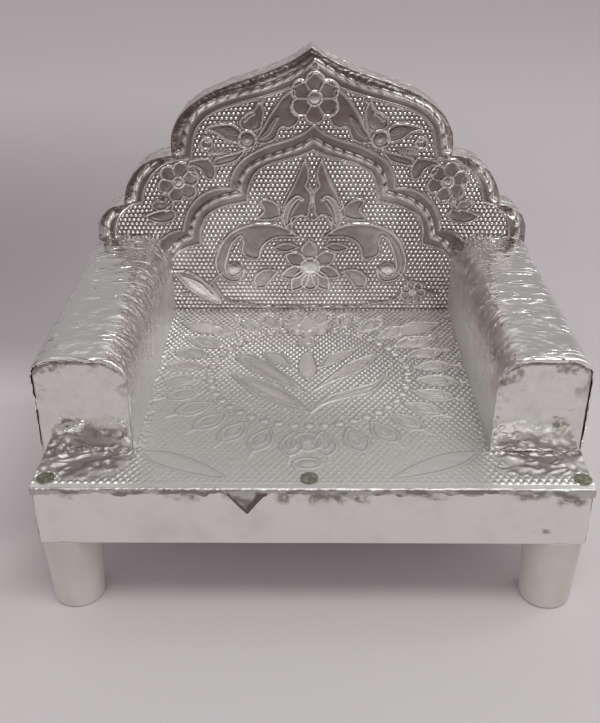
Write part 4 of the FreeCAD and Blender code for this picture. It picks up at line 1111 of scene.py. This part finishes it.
# Each leaf has the height of its dome, the height of its ridge and its points, as on the back.
# The paired ones are drawn once, from the middle given first, and set down on both sides.
centre_leaves = [
    (0.12, 0.42, [(-1.7, 33.6), (-6.7, 37.3), (-12.9, 43.2), (-16.3, 49.1), (-15.7, 50.2), (-10.6, 47.3),
        (-5.6, 41)]),
    (0.25, 0.3, [(-2.6, 34.9), (-8.5, 40.4), (-14.3, 47.9), (-10.2, 45.0), (-5.4, 39.4)]),
    (0.12, 0.42, [(-0.8, 25.4), (-5.3, 27.8), (-11.7, 32.7), (-14.9, 37.3), (-16.9, 41.3), (-10.8, 38.6),
        (-5.4, 33.9)]),
    (0.25, 0.3, [(-2.0, 27.0), (-9.0, 32.0), (-14.6, 39.0), (-8.9, 35.6), (-4.4, 31.0)]),
    (0.12, 0.42, [(0.3, 33.6), (3.9, 37.4), (8.7, 41), (12.5, 45.3), (14, 49.6), (9, 46.5), (5.2, 41.4)]),
    (0.25, 0.3, [(1.5, 35.2), (6.0, 39.8), (12.0, 46.9), (8.0, 44.2), (4.0, 39.2)]),
    (0.12, 0.42, [(-0.3, 25), (2.6, 28.7), (7.2, 31.2), (11.9, 33.4), (14.7, 37.2), (16.2, 41.4),
        (13, 37.4), (8.2, 34.6), (3.8, 31.9)]),
    (0.25, 0.3, [(0.9, 27.4), (5.5, 31.1), (12.6, 35.6), (7.4, 33.4)]),
    (0.35, 0.4, [(-0.9, 38.8), (0.6, 42), (0.4, 46.5), (-0.8, 51.4), (-2.4, 46.5), (-2.3, 42)]),
    (0.15, 0.38, [(-4.0, 44.4), (-8.6, 46.4), (-10.6, 51.1), (-7.4, 50.6)]),
    (0.15, 0.38, [(1.3, 43.4), (5.3, 46.4), (9.4, 51.9), (4.3, 49.9)]),
]
paired_leaves = (
    (-0.5, 0.05, 0.2, [(32.0, 11.8), (26.0, 11.0), (20.2, 7.8), (15.4, 3.4), (23.4, 5.3), (28.5, 8.0)]),
    (0, 0.12, 0.4, [(30.5, 65.5), (24, 66), (18.8, 60.2), (26, 61)]),
    (0, 0.12, 0.35, [(28.5, 57.5), (23.5, 57.5), (20.5, 53.5), (25.5, 54)]),
)
outer_leaves = [
    (dome, rim, np.array(points) * (side, 1) + (middle, 0))
    for middle, dome, rim, points in paired_leaves for side in (-1, 1)
]
for dome, rim, points in centre_leaves + outer_leaves:
    seat.shape(leaf(points), dome, rim * 1.15, rim=0.45, clear=0.2)
for centre, half_width, half_depth in (((-0.8, 15), 2.8, 3.1), ((-0.8, 7.9), 2.6, 1.7)):
    seat.shape(oval(centre, half_width, half_depth), 0.15, 0.42)
    seat.shape(oval(centre, half_width * 0.45, half_depth * 0.45), 0.4, 0.3)
seat.flower((-0.9, 64.2), 8, 5.4, 1.6, height=0.4)
seat.flower((-0.9, 56.0), 5, 2.2, 0.7, height=0.35)

# The front of the sheet is rubbed flat, most of all on the left. Its corners and sides are crushed.
from_middle = np.abs(seat.u)
on_right = seat.u > 0
in_margin = 1 - eased(seat.v, margin_depth, margin_depth + 3)
crisp = eased(seat.v + 0.25 * seat.u, 8.0, 58.0)
crisp = np.maximum(crisp, eased(from_middle, 29, 36) * 0.7 * in_margin)
seat.raised *= 0.5 + 0.4 * crisp
# Painted shade on the ground just outside the shapes' ridges, as if in grooves, stronger where the relief is
# crisp.
painted_groove_shade = eased(seat.painted_groove_shade, 0.2, 0.8) * (1 - eased(seat.raised, 0.05, 0.2))
painted_groove_shade *= 0.65 * (0.35 + 0.65 * crisp)
seat.raised += 0.05 * seat.crumple(8.0, 7.0, seed=80) + 0.02 * seat.crumple(1.7, 1.5, seed=81)
near_arm = eased(from_middle, seat_half - 3.0, seat_half - 0.5) * (seat.v > margin_depth - 1)
near_cap = eased(from_middle, seat_half - 2, seat_half + 3) * (seat.v < margin_depth + 1)
near_cap *= eased(seat.v, 1.2 + 1.3 * on_right, 4.4 + 2.0 * on_right)
for tack_name in ("left_tack", "right_tack"):
    tack = np.mean(box_in_mm(tack_name), axis=0)
    from_tack = np.hypot(seat.u - tack[0], seat.v + seat_low[1] - tack[1])
    near_cap *= eased(from_tack, tack_clear, tack_far)
corner_crush = near_cap * (0.45 + 0.55 * eased(seat.crumple(6.0, 4.0, seed=87), -0.7, -0.1))
dotted = seat.ground * (seat.v > dots_from) * (0.10 + 0.90 * crisp ** 1.5)
dotted *= 1 - 0.97 * eased(corner_crush, 0.05, 0.5)
seat.dots(seat_cells, 0.22, 1, dotted)
seat.raised += near_arm * 0.14 * seat.creases(1.2, 1.2, seed=82)
seat.raised += corner_crush * 0.35 * (seat.crumple(3.4, 2.6, seed=88) - 0.1)
seat.raised += corner_crush * 0.3 * seat.creases(2.0, 1.4, seed=89)
seat.raised = seat.raised.clip(-0.15, 0.62) * eased(seat.v, lip_round, dots_from) + lift
margin_end, seat_end = margin_depth + 0.5, seat_high[1] - seat_low[1]
seat_line = np.array([
    (seat_low[0], lip_round), (seat_high[0], lip_round), (seat_high[0], margin_end), (seat_half, margin_end),
    (seat_half, seat_end), (-seat_half, seat_end), (-seat_half, margin_end), (seat_low[0], margin_end),
])
seat_shell, used = seat.shell(
    seat_line, lambda u, v, raised: np.stack([u, v + seat_low[1], raised + seat_level], -1), thickness=0.2)
x = np.linspace(seat_low[0], seat_high[0], 401)
swell_limit = 0.06
least_drop = 0.6
flap_middle, flap_half, flap_drop, flap_slope = -11.6, 3.6, 5.3, 0.62
lip_drop = 1.0 + 0.45 * ripple(x, 3.1, seed=83) + 0.3 * ripple(x, 1.2, seed=84)
lip_drop += 0.7 * eased(x, 36, 42) * (0.6 + 0.6 * ripple(x, 1.7, seed=90))
flap = (1 - np.abs(x - flap_middle) / flap_half).clip(0)
flap_reach = least_drop + (flap_drop - least_drop) * flap + 0.2 * (flap > 0) * ripple(x, 1.0, seed=93)
lip_drop = np.maximum(lip_drop, flap_reach).clip(0.5, flap_drop) - 0.3

# The lip's rows first turn over the rounded edge, then hang straight down.
turned = np.linspace(0, math.pi / 2, 6)
hung = np.linspace(0, 1, 14)[1:]
angle, x_grid = np.meshgrid(np.append(turned, np.full(len(hung), math.pi / 2)), x, indexing="ij")
hang = np.append(np.zeros(len(turned)), hung)[:, None] * lip_drop
turned_down = np.sin(angle)
from_flap_edge = (lip_drop - hang) * flap_slope
fold_width = 0.5 + 0.7 * (x > flap_middle) + 0.35 * ripple(x, 1.3, seed=92)
flap_fold = (flap > 0) * (1 - eased(from_flap_edge, fold_width, fold_width + 0.5)) * eased(hang, 0.0, 0.5)
# Mottled painted shade on the lip's hanging face under its roll.
under_roll_shade = 0.1 + 0.6 * eased(crumple(x_grid, angle + hang, 1.9, 0.9, seed=94), 0.0, 0.5)
swell = 0.06 * crumple(x_grid, angle + hang, 3.0, 1.0, seed=85)
swell += 0.05 * creases(x_grid, hang, 1.1, 1.5, seed=86) + 0.08 * flap_fold
swell = (swell * turned_down).clip(-swell_limit, swell_limit)
wavering = 0.14 * ripple(x, 2.8, seed=91) * turned_down
outer = np.stack([
    x_grid,
    seat_low[1] + lip_round * (1 - turned_down) + swell_limit - swell,
    seat_level + lift - lip_round * (1 - np.cos(angle)) - hang + wavering,
], -1)
inward = np.stack([0 * angle, turned_down, -np.cos(angle)], -1)
lip_shell = turned_over(folded_foil(outer, inward, thickness=0.12))
# The seat's hollow colour between the dots is partly tarnish and partly painted shade.
seat_foil = stamped_foil(
    "seat_foil", "XY", (-half_columns * seat_pitch, seat_low[1]), (seat_pitch, 2 * seat_row),
    radii=(0.675, 1.05), squareness=1, depth=0.29, gap=0.36, crest=(0.98, 0.975, 0.95),
    hollow_tarnish_and_shade=(0.38, 0.375, 0.35), smooth_tarnish_and_shade=0.15, frost=(0.14, 0.27), metal=(0.72, 0.8),
)
lip_crush = 0.6 * turned_down * (1 - eased(hang, 0.5, 1.1))
# The flap's fold and the face under the roll are darkened as painted shade.
lip_painted_shade = np.maximum(flap_fold, under_roll_shade * turned_down)
lip_count = len(lip_shell[0])
rim_places = np.zeros(len(seat_shell[0]) - used.sum())
marks = {"dotted": dotted[used]}
# The seat's smudge mark is painted shade: dark reflection on the crushed front corners, grooves beside the
# ridges, and on the lip its flap's fold and the face under its roll.
for mark, on_seat, on_lip in (
    ("relief", seat.raised / 0.8, np.full(lip_count, 0.3)),
    ("crushed", near_arm * 0.5, lip_crush.ravel()),
    ("smudge_and_painted_shade", np.maximum(corner_crush * 0.72, painted_groove_shade), lip_painted_shade.ravel()),
    ("worn", 1 - crisp, np.ones(lip_count)),
):
    marks[mark] = np.concatenate([on_seat[used], rim_places, on_lip])
make_piece("seat_foil", [seat_shell, lip_shell], seat_foil, ["seat_sheet"], marks)
